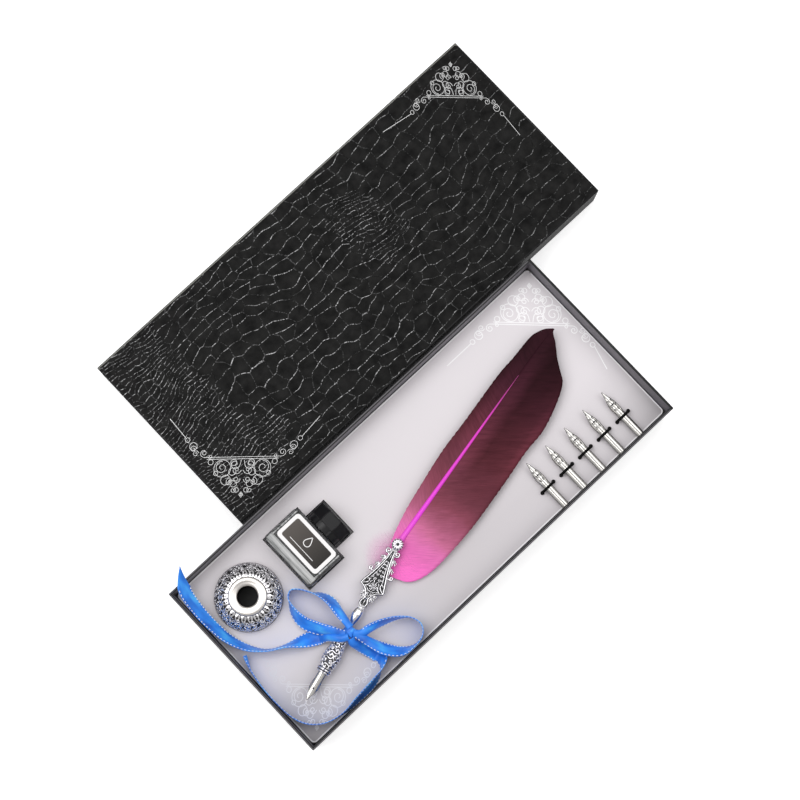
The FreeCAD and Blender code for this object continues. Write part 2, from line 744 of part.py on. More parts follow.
def pen_stem():
    bulge = [(f"bulge_start + {along} * bulge_long", f"{out} * bulge_radius") for along, out in BULGE_SHARES]
    stem = revolve(
        "stem_casting", "XY_Plane", "H_Axis",
        [
            ("tenon_start + tenon_gap", "0"),
            ("tenon_start + tenon_gap", "tenon_radius"),
            ("stem_start", "tenon_radius"),
            ("stem_start", "waist_radius"),
        ] + bulge + [("frame_start", "0")],
    )
    frame = new_sketch(stem, "XY_Plane")
    far_side = [(f"frame_start + {along} * frame_long", f"{out} * frame_half") for along, out in FRAME_SHARES]
    near_side = [(along, f"-({out})") for along, out in reversed(far_side)]
    outline(frame, far_side + near_side)
    pad(stem, frame, "frame_thick", middle=True)
    seat = new_sketch(stem, "XY_Plane")
    circle(seat, "flower_along", "0", "pad_radius")
    pad(stem, seat, "frame_thick", middle=True)
    windows = new_sketch(stem, "XY_Plane")
    for side in ("1", "-1"):
        outline(
            windows,
            [(f"frame_start + {along} * frame_long", f"{side} * {out} * frame_half") for along, out in WINDOW_SHARES],
        )
    pocket(stem, windows)
    on_pen(stem)
    hole = doc.addObject("Part::Cylinder", "quill_hole")
    hole.setExpression("Radius", formula("shaft_root + quill_gap"))
    hole.setExpression("Height", formula("pad_radius + overrun"))
    along_feather(hole, "shaft_from - quill_gap")
    keep("pen_stem", join("Cut", "pen_stem", stem, hole))
    flower = revolve(
        "flower_boss", "XZ_Plane", "V_Axis",
        (
            ("flower_radius", "0"),
            ("flower_radius", "flower_tall / 3"),
            ("flower_radius * 2 / 3", "flower_tall * 5 / 6"),
            ("flower_radius / 3", "flower_tall * 2 / 3"),
            ("0", "flower_tall"),
            ("0", "0"),
        ),
    )
    place(flower, "flower_x", "flower_y", "pen_z + frame_thick / 2")
    keep("flower_boss", flower)


# Feather: a tapered shaft from the flower, a vane on each side, and down under the frame
def along_feather(thing, start):
    """Stands a thing's own Z axis along the feather's shaft."""
    flat = f"({start}) * cos(feather_rise)"
    place(
        thing,
        f"flower_x + {flat} * cos(feather_turn)",
        f"flower_y + {flat} * sin(feather_turn)",
        f"pen_z + ({start}) * sin(feather_rise)",
        turn="feather_turn",
        pitch="90 - feather_rise",
    )


def feather_placement(rise, lift):
    spin = Rotation(Vector(0, 0, 1), size("feather_turn")) * Rotation(Vector(0, 1, 0), -rise)
    return Placement(Vector(size("flower_x"), size("flower_y"), size("pen_z") + lift), spin)


def plate(wire_edges, thickness):
    face = Part.Face(Part.Wire(wire_edges))
    return face.extrude(Vector(0, 0, thickness))


def solid_feature(label, shape, placement=None):
    thing = doc.addObject("Part::Feature", label)
    thing.Shape = shape
    if placement is not None:
        thing.Placement = placement
    return keep(label, thing)


def smooth_edge(points):
    curve = Part.BSplineCurve()
    curve.interpolate(points)
    return curve.toShape()


def feather():
    shaft = doc.addObject("Part::Cone", "feather_shaft")
    for side, text in (("Radius1", "shaft_root"), ("Radius2", "shaft_tip"), ("Height", "shaft_long")):
        shaft.setExpression(side, formula(text))
    along_feather(shaft, "shaft_from")
    keep("feather_shaft", shaft)

    long = size("vane_long")
    thick = size("vane_thick")
    core = Part.makeCone(
        size("shaft_root"), size("shaft_tip"), size("shaft_long"), Vector(size("shaft_from"), 0, 0), Vector(1, 0, 0)
    )
    tip = Vector(long, -TIP_DROP_SHARE * size("vane_right"), -thick / 2)
    root = Vector(size("vane_from"), 0, -thick / 2)
    for label, shares, out in (
        ("feather_vane_right", RIGHT_EDGE_SHARES, -size("vane_right")),
        ("feather_vane_left", LEFT_EDGE_SHARES, size("vane_left")),
    ):
        spots = [Vector(along * long, side * out, -thick / 2) for along, side in shares]
        first = Vector(size("vane_from"), shares[0][1] * out, -thick / 2)
        edges = [
            Part.makeLine(root, first), smooth_edge([first] + spots + [tip]), Part.makeLine(tip, root),
        ]
        solid_feature(label, plate(edges, thick).cut(core), feather_placement(size("feather_rise"), 0))

    back = size("down_back")
    out = size("vane_right")
    under = -size("frame_thick") / 2 - size("down_gap") - thick
    ring = [Vector(along * back, side * out, 0) for along, side in DOWN_SHARES]
    edges = [Part.makeLine(ring[-1], ring[0]), Part.makeLine(ring[0], ring[1]), smooth_edge(ring[1:])]
    solid_feature("feather_down", plate(edges, thick), feather_placement(0, under))


# Ribbon: flat bands lofted along their routes, tied round the waist of the pen
def ribbon_section(spot, ahead, lean, share):
    """A thin rectangle across the ribbon, its width leaning from upright to the left of the way ahead."""
    level = Vector(-ahead.y, ahead.x, 0).normalize()
    tilt = math.radians(lean)
    across = level * math.sin(tilt) + Vector(0, 0, math.cos(tilt))
    through = ahead.cross(across).normalize()
    half_wide = across * (share * size("ribbon_wide") / 2)
    half_thick = through * (size("ribbon_thick") / 2)
    corners = [
        spot + half_wide + half_thick, spot - half_wide + half_thick,
        spot - half_wide - half_thick, spot + half_wide - half_thick,
    ]
    return Part.makePolygon(corners + corners[:1])


def reach(offset, room, room_then):
    """An offset from the knot, drawn in or out beyond the knot as the room to the wall allows."""
    near = size("near_knot")
    beyond = max(abs(offset) - near, 0)
    held = abs(offset) - beyond
    return math.copysign(held + beyond * (room - near) / (room_then - near), offset)


def ribbon_spot(x, y, z, back_edge, back_room):
    left = size("knot_x") - size("left_wall")
    front = size("knot_y") - size("front_wall")
    back = size(back_edge) - size("knot_y")
    along = reach(x, left, size("bow_left_room")) if x < 0 else x
    across = reach(y, front, size("bow_front_room")) if y < 0 else reach(y, back, size(back_room))
    return Vector(size("knot_x") + along, size("knot_y") + across, size("card_top") + z)


def ribbon_stretch(label, route, back_edge="back_wall", back_room="bow_back_room"):
    """A band along a route, kept clear of the walls and of what lies behind it."""
    spots = [ribbon_spot(x, y, z, back_edge, back_room) for x, y, z, lean, share in route]
    sections = []
    last = len(spots) - 1
    for index, (x, y, z, lean, share) in enumerate(route):
        ahead = (spots[min(index + 1, last)] - spots[max(index - 1, 0)]).normalize()
        sections.append(ribbon_section(spots[index], ahead, lean, share))
    pieces = [Part.makeLoft([near, far], True, True) for near, far in zip(sections, sections[1:])]
    solid_feature(label, pieces[0].multiFuse(pieces[1:]))


def ribbon():
    start = "band_middle - band_wide / 2"
    end = "band_middle + band_wide / 2"
    inner = "waist_radius + band_gap"
    band = revolve(
        "ribbon_band", "XY_Plane", "H_Axis",
        ((start, inner), (end, inner), (end, "band_radius"), (start, "band_radius")),
    )
    on_pen(band)
    keep("ribbon_band", band)
    knot = new_body("ribbon_knot")
    sketch = new_sketch(knot, "XY_Plane")
    rounded_rectangle(sketch, "knot_along", "-knot_aside", "knot_long", "knot_wide", "knot_corner")
    pad(knot, sketch, "knot_tall")
    top = size("knot_tall")
    round_edges(knot, "knot_edge", lambda edge: edge.BoundBox.ZMin > top - size("seat_gap"))
    on_pen(knot, "band_radius + band_gap")
    keep("ribbon_knot", knot)
    ribbon_stretch("ribbon_loop_left", LEFT_LOOP_ROUTE, "bottle_front", "bow_bottle_room")
    ribbon_stretch("ribbon_loop_right", RIGHT_LOOP_ROUTE)
    ribbon_stretch("ribbon_tail_left", LEFT_TAIL_ROUTE)
    ribbon_stretch("ribbon_tail_right", RIGHT_TAIL_ROUTE)


# Nibs: a rolled sheet, open below, trimmed to a point
def nib(label, long, radius, sheet):
    """A nib along X from its tip: a rolled tube, trimmed on both sides, slit and pierced."""
    body = new_body(label)
    section = new_sketch(body, "YZ_Plane")
    inner = f"({radius} - {sheet})"
    side = f"sin({NIB_OPEN_HALF_ANGLE})"
    low = f"-cos({NIB_OPEN_HALF_ANGLE})"
    outline(
        section,
        (
            (f"{side} * {radius}", f"{low} * {radius}"),
            ("0", radius, radius, "left"),
            (f"-{side} * {radius}", f"{low} * {radius}", radius, "left"),
            (f"-{side} * {inner}", f"{low} * {inner}"),
            ("0", inner, inner, "right"),
            (f"{side} * {inner}", f"{low} * {inner}", inner, "right"),
        ),
    )
    pad(body, section, long)
    trim = new_sketch(body, "XY_Plane")
    for mirror in ("1", "-1"):
        edge = [(f"{along} * {long}", f"{mirror} * {out} * {radius}") for along, out in NIB_SHARES]
        shank = f"{mirror} * {NIB_SHANK_SHARE} * {radius}"
        clear = f"{mirror} * ({radius} + overrun)"
        past_end = f"{long} + overrun"
        past_tip = "-overrun"
        outline(trim, edge + [(past_end, shank), (past_end, clear), (past_tip, clear), (past_tip, edge[0][1])])
    pocket(body, trim)
    slit = new_sketch(body, "XY_Plane")
    vent_place = f"{NIB_VENT_PLACE_SHARE} * {long}"
    half_slit = f"({NIB_SLIT_SHARE} * {radius} / 2)"
    outline(
        slit,
        ((past_tip, f"-{half_slit}"), (vent_place, f"-{half_slit}"), (vent_place, half_slit), (past_tip, half_slit)),
    )
    pocket(body, slit)
    vent = new_sketch(body, "XY_Plane")
    circle(vent, vent_place, "0", f"{NIB_VENT_SHARE} * {radius}")
    pocket(body, vent)
    return keep(label, body)


def pen_nib():
    on_pen(nib("pen_nib", "(nib_out + nib_in)", "nib_radius", "nib_sheet"))


def spare_nibs():
    for number in range(SPARE_COUNT):
        body = nib(f"spare_nib_{number + 1}", "spare_long", "spare_radius", "spare_sheet")
        place(body, f"spare_first + {number} * spare_step", "spare_tip", "spare_axis", turn="-90")


# Elastic loops: a cord up through the card, over the nib and down again
def elastic_loop(label, across):
    cord = size("elastic") / 2
    ring = size("spare_radius") + size("loop_gap") + cord
    axis = size("spare_axis")
    half_span = size("loop_span") / 2
    slope = math.radians(size("loop_slope"))
    touch = Vector(ring * math.sin(slope), 0, axis + ring * math.cos(slope))
    fall = (half_span - touch.x) * math.tan(slope)
    corner = Vector(half_span, 0, touch.z - fall)
    bend = size("elastic_bend") * math.tan((math.pi / 2 - slope) / 2)
    uphill = (touch - corner).normalize()
    bend_top = corner + uphill * bend
    bend_low = corner - Vector(0, 0, bend)
    bend_centre = bend_low - Vector(size("elastic_bend"), 0, 0)
    bend_middle = bend_centre + (corner - bend_centre).normalize() * size("elastic_bend")
    foot = Vector(half_span, 0, size("card_top") - size("elastic_deep"))
    crown = Vector(0, 0, axis + ring)

    def mirrored(spot):
        return Vector(-spot.x, spot.y, spot.z)

    edges = [
        Part.makeLine(foot, bend_low),
        Part.Arc(bend_low, bend_middle, bend_top).toShape(),
        Part.makeLine(bend_top, touch),
        Part.Arc(touch, crown, mirrored(touch)).toShape(),
        Part.makeLine(mirrored(touch), mirrored(bend_top)),
        Part.Arc(mirrored(bend_top), mirrored(bend_middle), mirrored(bend_low)).toShape(),
        Part.makeLine(mirrored(bend_low), mirrored(foot)),
    ]
    section = Part.Wire(Part.makeCircle(cord, foot, Vector(0, 0, 1)))
    tube = Part.Wire(edges).makePipeShell([section], True, False)
    solid_feature(label, tube, Placement(Vector(across, size("loop_y"), 0), Rotation()))


def elastic_loops():
    for number in range(SPARE_COUNT):
        elastic_loop(f"elastic_loop_{number + 1}", size("spare_first") + number * size("spare_step"))


base_boards()
base_paper()
insert_layer("foam_base_layer", "board", "foam_base", False)
insert_layer("foam_pocket_layer", "pocket_floor", "foam_pocket", True)
insert_layer("insert_card", "card_under", "card", True)
lid()
ink_bottle()
bottle_cap()
pen_stand()
pen_handle()
pen_stem()
feather()
ribbon()
pen_nib()
spare_nibs()
elastic_loops()
doc.recompute()

# Every object has to be sound before anything is written
for thing in doc.Objects:
    if "Invalid" in thing.State or "Error" in thing.State:
        raise RuntimeError(f"{thing.Label} failed: {thing.State}")
for label, thing in parts.items():
    if thing.Shape.isNull() or not thing.Shape.isValid() or not thing.Shape.Solids:
        raise RuntimeError(f"{label} has no sound solid")

print(f"elastic loops: cord radius {size('elastic') / 2:.2f} mm, tightest bend {size('elastic_bend'):.2f} mm")
os.makedirs("parts", exist_ok=True)
for label, thing in parts.items():
    thing.Shape.exportStep(f"parts/{label}.step")
    box = thing.Shape.BoundBox
    print(f"{label}: {len(thing.Shape.Solids)} solid, {thing.Shape.Volume:.1f} mm3, z {box.ZMin:.2f} to {box.ZMax:.2f}")
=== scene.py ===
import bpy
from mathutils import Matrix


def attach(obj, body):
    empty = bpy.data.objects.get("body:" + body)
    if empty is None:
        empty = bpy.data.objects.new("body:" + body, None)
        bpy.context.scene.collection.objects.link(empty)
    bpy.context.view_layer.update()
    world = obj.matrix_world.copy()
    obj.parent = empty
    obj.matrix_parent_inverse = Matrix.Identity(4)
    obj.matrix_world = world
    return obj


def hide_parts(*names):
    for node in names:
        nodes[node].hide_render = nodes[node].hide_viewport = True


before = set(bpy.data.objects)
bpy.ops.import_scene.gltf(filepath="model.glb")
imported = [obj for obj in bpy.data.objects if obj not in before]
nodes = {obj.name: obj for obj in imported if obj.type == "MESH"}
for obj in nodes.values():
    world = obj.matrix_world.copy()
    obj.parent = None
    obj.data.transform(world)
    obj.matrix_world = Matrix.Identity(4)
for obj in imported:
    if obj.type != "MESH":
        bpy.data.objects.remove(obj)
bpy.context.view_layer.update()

import math
import random

import bmesh
import bpy
from mathutils import Matrix, Vector

# Dip pen gift box, dressed over its solids. Shapes are worked out in millimetres and placed in metres.
MM = 0.001
scene = bpy.context.scene
draw = random.Random(11)

# Sizes and places that the part's source gives, in millimetres and degrees
CARD_TOP = 23.7
CARD_HALF = (147.8, 61.3)
CARD_CORNER = 2.5
BASE_HALF = (150.0, 63.5)
BASE_TALL = 40.0
LID_TOP = 28.0
LID_LOW = (-89.2, 66.5)
LID_HIGH = (214.0, 196.7)
PEN_TIP = (-133.5, -39.1, 28.8)
PEN_TURN = 16.3
NIB_LONG = 29.2
NIB_RADIUS = 3.1
GRIP_START = 19.4
GRIP_LONG = 23.8
GRIP_RADIUS = 5.0
BAND_RADIUS = 2.65
BAND_WIDE = 7.0
BAND_MIDDLE = 47.5
FRAME_TOP = 2.2
FLOWER_ALONG = 108.8
FLOWER_RADIUS = 3.6
FEATHER_TURN = 11.2
FEATHER_RISE = 1.2
VANE_LONG = 164.0
VANE_RIGHT = 32.0
SHAFT_ROOT = 1.85
SHAFT_TIP = 0.4
SHAFT_LONG = 150.0
KNOT = (-85.97, -27.07)
RIBBON_WIDE = 10.0
RIBBON_THICK = 0.4
STAND = (-116.6, 30.4, 11.1)
STAND_TALL = 27.4
STAND_RADIUS = 20.7
STAND_BELLY = 15.0
STAND_FOOT = 13.5
STAND_FOOT_TOP = 2.2
STAND_RIM = 11.75
STAND_SHOULDER = 24.8
STAND_HOLE = 6.25
BOTTLE = (-86.3, 29.2, 24.6)
BOTTLE_TALL = 28.2
BOTTLE_WIDE = 41.4
BOTTLE_DEEP = 27.0
BOTTLE_HEEL = 6.5
BOTTLE_WALL = 2.4
NECK_RADIUS = 8.6
NECK_BORE = 6.0
NECK_LONG = 10.2
LABEL_UP = 7.8
LABEL_TALL = 18.6
LABEL_WIDE = 34.7
LABEL_TOP = 38.25
CAP_START = -57.3
CAP_LONG = 12.5
CAP_HALF = 12.1
SPARE_FIRST = 62.6
SPARE_STEP = 16.0
SPARE_NUMBERS = range(1, 6)
SPARE_LONG = 35.8
SPARE_RADIUS = 2.95
SPARE_TIP_Y = -25.5
SPARE_AXIS = 25.275
LOOP_Y = -45.9
LOOP_SPAN = 9.9
ELASTIC_ROUND = 1.6
ELASTIC_DEEP = 4.0


def turn(degrees, axis="Z", size=4):
    return Matrix.Rotation(math.radians(degrees), size, axis)


PEN_PLACE = Matrix.Translation(PEN_TIP) @ turn(PEN_TURN)
FLOWER = PEN_PLACE @ Vector((FLOWER_ALONG, 0, 0))
FEATHER_PLACE = Matrix.Translation(FLOWER) @ turn(FEATHER_TURN) @ turn(-FEATHER_RISE, "Y")
STAND_PLACE = Matrix.Translation(STAND)


# Materials
class Paint:
    """A material with its shader, and short ways to add nodes."""

    def __init__(self, name, color, roughness, metallic=0.0, gloss=0.5):
        self.material = bpy.data.materials.new(name)
        self.material.use_nodes = True
        self.tree = self.material.node_tree
        self.shader = self.tree.nodes["Principled BSDF"]
        coords = self.tree.nodes.new("ShaderNodeTexCoord")
        self.place = coords.outputs["Object"]
        self.flat = coords.outputs["UV"]
        self.way = coords.outputs["Normal"]
        self.color(color)
        self.set("Roughness", roughness)
        self.set("Metallic", metallic)
        self.set("Specular IOR Level", gloss)

    def fill(self, socket, value):
        """Link a socket to another, or give it a number, a vector or a colour."""
        if isinstance(value, bpy.types.NodeSocket):
            self.tree.links.new(value, socket)
        elif socket.type == "RGBA":
            socket.default_value = (*value, 1.0)
        else:
            socket.default_value = value

    def set(self, name, value):
        self.fill(self.shader.inputs[name], value)

    def color(self, value):
        self.set("Base Color", value)

    def add(self, kind, output, inputs, **settings):
        """A new node with its settings and inputs; gives one of its outputs."""
        node = self.tree.nodes.new(kind)
        for name, setting in settings.items():
            setattr(node, name, setting)
        for name, value in inputs.items():
            self.fill(node.inputs[name], value)
        return node.outputs[output]

    def scaled(self, vector, *scale):
        return self.add("ShaderNodeMapping", "Vector", {"Vector": vector, "Scale": scale})

    def noise(self, vector, scale, detail=4.0, roughness=0.55, output="Fac"):
        inputs = {"Vector": vector, "Scale": scale, "Detail": detail, "Roughness": roughness}
        return self.add("ShaderNodeTexNoise", output, inputs)

    def grain(self, scale, detail=4.0):
        return self.noise(self.place, scale, detail)

    def streaks(self, along, across, detail, roughness=0.55):
        return self.noise(self.scaled(self.flat, along, across, 1.0), 1.0, detail, roughness)

    def cells(self, vector, feature, output):
        """Uneven cells in a plane, about one unit across."""
        inputs = {"Vector": vector, "Scale": 1.0, "Randomness": 0.52}
        return self.add("ShaderNodeTexVoronoi", output, inputs, voronoi_dimensions="2D", feature=feature)

    def ramp(self, factor, *stops):
        """Colours or greys between stops, each a place and its colour."""
        output = self.add("ShaderNodeValToRGB", "Color", {"Fac": factor})
        elements = output.node.color_ramp.elements
        while len(elements) < len(stops):
            elements.new(0.5)
        for element, (place, color) in zip(elements, stops):
            element.position = place
            element.color = (*color, 1.0) if isinstance(color, tuple) else (color, color, color, 1.0)
        return output

    def mix(self, factor, first, second, blend="MIX", kind="RGBA"):
        inputs = {"Factor": factor, "A": first, "B": second}
        return self.add("ShaderNodeMix", "Result", inputs, data_type=kind, blend_type=blend)

    def tint(self, first, second):
        return self.mix(1.0, first, second, "MULTIPLY")

    def choose(self, factor, first, second):
        return self.mix(factor, first, second, kind="FLOAT")

    def math(self, operation, first, second=0.0, third=0.0, clamp=False):
        inputs = {0: first, 1: second, 2: third}
        return self.add("ShaderNodeMath", 0, inputs, operation=operation, use_clamp=clamp)

    def line(self, value, times, plus, clamp=False):
        return self.math("MULTIPLY_ADD", value, times, plus, clamp)

    def waver(self, noise, reach, plus):
        """A value that a noise shifts up and down by half a reach."""
        return self.line(self.math("SUBTRACT", noise, 0.5), reach, plus)

    def product(self, value, *others):
        for other in others:
            value = self.math("MULTIPLY", value, other)
        return value

    def apart(self, first, second):
        return self.math("ABSOLUTE", self.math("SUBTRACT", first, second))

    def vector(self, operation, first, second=(0.0, 0.0, 0.0)):
        output = "Value" if operation == "DISTANCE" else "Vector"
        return self.add("ShaderNodeVectorMath", output, {0: first, 1: second}, operation=operation)

    def split(self, vector):
        return self.add("ShaderNodeSeparateXYZ", 0, {0: vector}).node.outputs

    def bump(self, height, strength, distance):
        inputs = {"Height": height, "Strength": strength, "Distance": distance}
        self.set("Normal", self.add("ShaderNodeBump", "Normal", inputs))


def plain(name, color, roughness, metallic=0.0, grain=900.0, bump=0.15, mottle=0.12, gloss=0.5, glow=0.0):
    """A finish with a fine grain and a slight mottle of its colour."""
    paint = Paint(name, color, roughness, metallic, gloss)
    fine = paint.grain(grain)
    dark = tuple(part * (1.0 - mottle) for part in color)
    light = tuple(min(part * (1.0 + mottle), 1.0) for part in color)
    paint.color(paint.mix(fine, dark, light))
    paint.bump(fine, bump, 0.0002)
    paint.set("Emission Strength", glow)
    return paint.material


def lid_paper():
    """Black embossed paper: uneven scales in rows, with thin broken painted highlights on the crease edges
    along the rows that face the light, and painted shade in the creases.
    """
    paint = Paint("embossed_paper", (0.010, 0.010, 0.010), 0.5, gloss=0.05)
    x, y, z = paint.split(paint.place)
    end_face = paint.math("GREATER_THAN", paint.math("ABSOLUTE", paint.split(paint.way)[0]), 0.5)
    inputs = {"X": paint.choose(end_face, x, y), "Y": paint.choose(end_face, paint.math("ADD", y, z), z)}
    flat = paint.add("ShaderNodeCombineXYZ", 0, inputs)
    moved = flat
    for scale, reach in ((13.0, 0.032), (75.0, 0.007)):
        wander = paint.noise(flat, scale, 1.0, 0.5, "Color")
        moved = paint.vector("ADD", moved, paint.vector("MULTIPLY", wander, (reach, reach, 0.0)))
    left_end = paint.line(x, -30.0, -0.75)
    patch = paint.line(paint.vector("DISTANCE", flat, (0.093, 0.178, 0.0)), -60.0, 1.7)
    zone = paint.waver(paint.grain(28.0, 2.0), 3.0, paint.math("MAXIMUM", left_end, patch))
    small = paint.math("GREATER_THAN", zone, 0.5)
    cells = paint.vector("MULTIPLY", moved, (80.0, 136.0, 0.0))
    cells = paint.vector("MULTIPLY", cells, paint.choose(small, 1.0, 2.5))
    first, second = (paint.cells(cells, feature, "Position") for feature in ("F1", "F2"))
    aside, upward, level = paint.split(paint.vector("ABSOLUTE", paint.vector("SUBTRACT", second, first)))
    lean = paint.math("DIVIDE", upward, paint.math("ADD", aside, upward))
    inputs = {"Value": paint.cells(cells, "DISTANCE_TO_EDGE", "Distance"), "From Min": 0.008}
    inputs |= {"From Max": paint.choose(small, 0.040, 0.09), "To Min": 1.0, "To Max": 0.0}
    edge = paint.add("ShaderNodeMapRange", "Result", inputs, interpolation_type="SMOOTHSTEP")
    # rows picks the crease edges that run along the rows and face the light; these carry the painted
    # highlight
    rows = paint.ramp(lean, (0.48, 0.15), (0.74, 1.0))
    broken = paint.ramp(paint.grain(900.0, 3.0), (0.44, 0.06), (0.57, 1.0))
    patchy = paint.ramp(paint.grain(110.0, 2.0), (0.36, 0.12), (0.60, 1.0))
    # bright is the painted highlight on those crease edges, broken up, patchy, and fading towards the lid's
    # right end
    bright = paint.product(edge, rows, broken, patchy, paint.line(x, -3.6, 1.15, True))
    mottle = paint.ramp(paint.grain(150.0, 5.0), (0.3, 0.004), (0.7, (0.016, 0.0158, 0.0155)))
    # the paper's own mottle, darkened in the creases as painted shade
    mottle_and_crease_shade = paint.mix(paint.product(edge, 0.6), mottle, (0.001, 0.001, 0.001))
    paint.color(paint.mix(bright, mottle_and_crease_shade, (0.66, 0.66, 0.67)))
    paint.bump(paint.math("SUBTRACT", 1.0, edge), 0.3, 0.0005)
    return paint.material


RIM_DARK = (0.014, 0.014, 0.015)
LIT_DEEP = 2.0


def edge_paper(name, axis, limit, operation, lit_color):
    """Dark paper turned over a rim, lighter on the sides that catch the light."""
    paint = Paint(name, RIM_DARK, 0.4, gloss=0.2)
    grain = paint.grain(1200.0)
    lit = paint.math(operation, paint.split(paint.place)[axis], limit * MM)
    lit = paint.math("MULTIPLY", lit, paint.line(grain, 0.6, 0.7), clamp=True)
    paint.color(paint.mix(lit, RIM_DARK, lit_color))
    paint.bump(grain, 0.15, 0.0002)
    return paint.material


def pearl_card():
    """Pale lavender-grey pearl card with painted shade: darker towards its left end, along its front and in
    its front corners.
    """
    paint = Paint("pearl_card", (0.68, 0.65, 0.67), 0.42, gloss=0.3)
    x, y, z = paint.split(paint.place)
    # painted shade: darker towards the left end and along the front wall
    shade = paint.line(paint.line(y, -36.0, -0.43, True), -0.10, paint.line(x, 0.33, 0.66))
    # painted shade in both front corners
    for end, end_from, deep_from, dark in ((28.0, -3.1, -1.8, -0.18), (-40.0, -4.6, -1.0, -0.12)):
        corner = paint.product(paint.line(x, end, end_from, True), paint.line(y, -50.0, deep_from, True))
        shade = paint.line(corner, dark, shade)
    base = paint.tint((1.02, 0.967, 1.005), shade)
    sheen = paint.grain(2600.0, 2.0)
    paint.color(paint.mix(paint.product(sheen, 0.10), base, (0.84, 0.82, 0.84)))
    paint.bump(sheen, 0.06, 0.0001)
    return paint.material


def pale_print():
    """Print that is paler than the card under it, and darker towards the left end as painted shade, as on the
    card.
    """
    paint = Paint("pale_print", (0.8, 0.79, 0.8), 0.4)
    grain = paint.grain(900.0)
    # painted shade: the print darkens from the right end towards the left end
    along = paint.waver(grain, 0.1, paint.line(paint.split(paint.place)[0], 3.4, 0.5))
    paint.color(paint.ramp(along, (0.0, (0.61, 0.60, 0.625)), (1.0, (0.94, 0.93, 0.945))))
    paint.bump(grain, 0.05, 0.0001)
    return paint.material


def satin_ribbon():
    """Blue satin: a fine cross rib, with painted highlights and painted shade in soft streaks along the
    length.
    """
    paint = Paint("satin_ribbon", (0.024, 0.21, 0.80), 0.40, gloss=0.42)
    # the ribbon's blue, with painted sheen: lighter and darker streaks along the length
    soft = paint.streaks(1.6, 7.0, 1.5)
    satin_blues_and_painted_sheen = ((0.28, (0.010, 0.105, 0.52)), (0.50, (0.024, 0.235, 0.86)), (0.72, (0.075, 0.46, 1.0)))
    paint.color(paint.ramp(soft, *satin_blues_and_painted_sheen))
    inputs = {"Vector": paint.flat, "Scale": 900.0, "Distortion": 0.4}
    paint.bump(paint.add("ShaderNodeTexWave", "Fac", inputs, bands_direction="Y"), 0.08, 0.0001)
    paint.set("Sheen Weight", 0.06)
    return paint.material


# The feather's colours from root to tip, and their strength from the shaft to the edge
BARB_SLANT = 0.7
FEATHER_COLORS = (
    (0.045, (0.88, 0.17, 0.55)), (0.145, (0.68, 0.165, 0.41)), (0.19, (0.54, 0.145, 0.28)),
    (0.235, (0.36, 0.098, 0.17)), (0.289, (0.23, 0.058, 0.090)), (0.352, (0.142, 0.037, 0.054)),
    (0.505, (0.086, 0.020, 0.028)), (0.757, (0.037, 0.0088, 0.014)), (0.91, (0.018, 0.0048, 0.007)),
)
FEATHER_ACROSS = (
    (0.0, (0.75, 0.75, 0.83)), (0.14, (0.75, 0.75, 0.83)), (0.36, 0.42), (0.62, (0.53, 0.52, 0.53)),
    (0.80, 0.68), (0.92, (1.0, 0.96, 0.98)),
)


def feather_vane():
    """Dyed feather: pink at the root, wine red, nearly black maroon at the tip, streaked along its barbs."""
    paint = Paint("feather_vane", (0.06, 0.014, 0.022), 0.62, gloss=0.04)
    u, v, w = paint.split(paint.flat)
    streak = paint.streaks(420.0, 4.0, 4.0, 0.6)
    cloud = paint.streaks(9.0, 2.2, 3.0)
    band = paint.streaks(46.0, 2.0, 3.0, 0.6)
    along = paint.waver(cloud, 0.10, paint.line(v, BARB_SLANT * VANE_RIGHT / VANE_LONG, u))
    base = paint.ramp(paint.line(along, 0.9, 0.1, True), *FEATHER_COLORS)
    cloudy = paint.ramp(band, (0.32, (0.82, 0.79, 0.80)), (0.50, 1.0), (0.70, (1.15, 1.12, 1.13)))
    base = paint.mix(paint.line(u, 5.0, -0.8, True), base, paint.tint(base, cloudy))
    across = paint.tint(paint.ramp(paint.waver(cloud, 0.25, v), *FEATHER_ACROSS), (2.0, 2.0, 2.0))
    base = paint.mix(paint.line(u, 6.0, -1.5, True), base, paint.tint(base, across))
    paint.color(paint.tint(base, paint.ramp(streak, (0.30, 0.80), (0.70, 1.16))))
    paint.bump(streak, 0.14, 0.0002)
    return paint.material


def shaft_magenta():
    """The shaft: bright magenta that darkens towards the tip."""
    paint = Paint("shaft_magenta", (0.80, 0.04, 0.72), 0.34, gloss=0.3)
    grain = paint.noise(paint.scaled(paint.flat, 30.0, 3.0, 1.0), 4.0)
    pinks = (
        (0.0, (0.78, 0.12, 0.56)), (0.15, (0.80, 0.06, 0.72)), (0.60, (0.70, 0.04, 0.52)),
        (0.80, (0.34, 0.025, 0.19)), (1.0, (0.06, 0.010, 0.018)),
    )
    paint.color(paint.ramp(paint.line(grain, 0.03, paint.split(paint.flat)[0]), *pinks))
    paint.bump(grain, 0.1, 0.0001)
    return paint.material


def wisp(name, veil=False):
    """Downy pink that lets the card show through; a veil thins out towards its edge."""
    paint = Paint(name, (0.90, 0.42, 0.70), 0.8, gloss=0.1)
    streak = paint.noise(paint.scaled(paint.place, 300.0, 300.0, 300.0), 1.0)
    paint.color(paint.mix(streak, (0.84, 0.28, 0.60), (0.93, 0.56, 0.79)))
    clear = 0.08
    if veil:
        barbs = paint.streaks(70.0, 3.0, 3.0)
        thin = paint.waver(barbs, 0.16, paint.split(paint.flat)[1])
        clear = paint.math("MULTIPLY", thin, 0.85, clamp=True)
    paint.set("Alpha", clear)
    return paint.material


# Where the painted light streaks at the ends of the bottle lie, out from its middle, and half their width
GLINT_ASIDE = 18.5
GLINT_HALF = 0.4


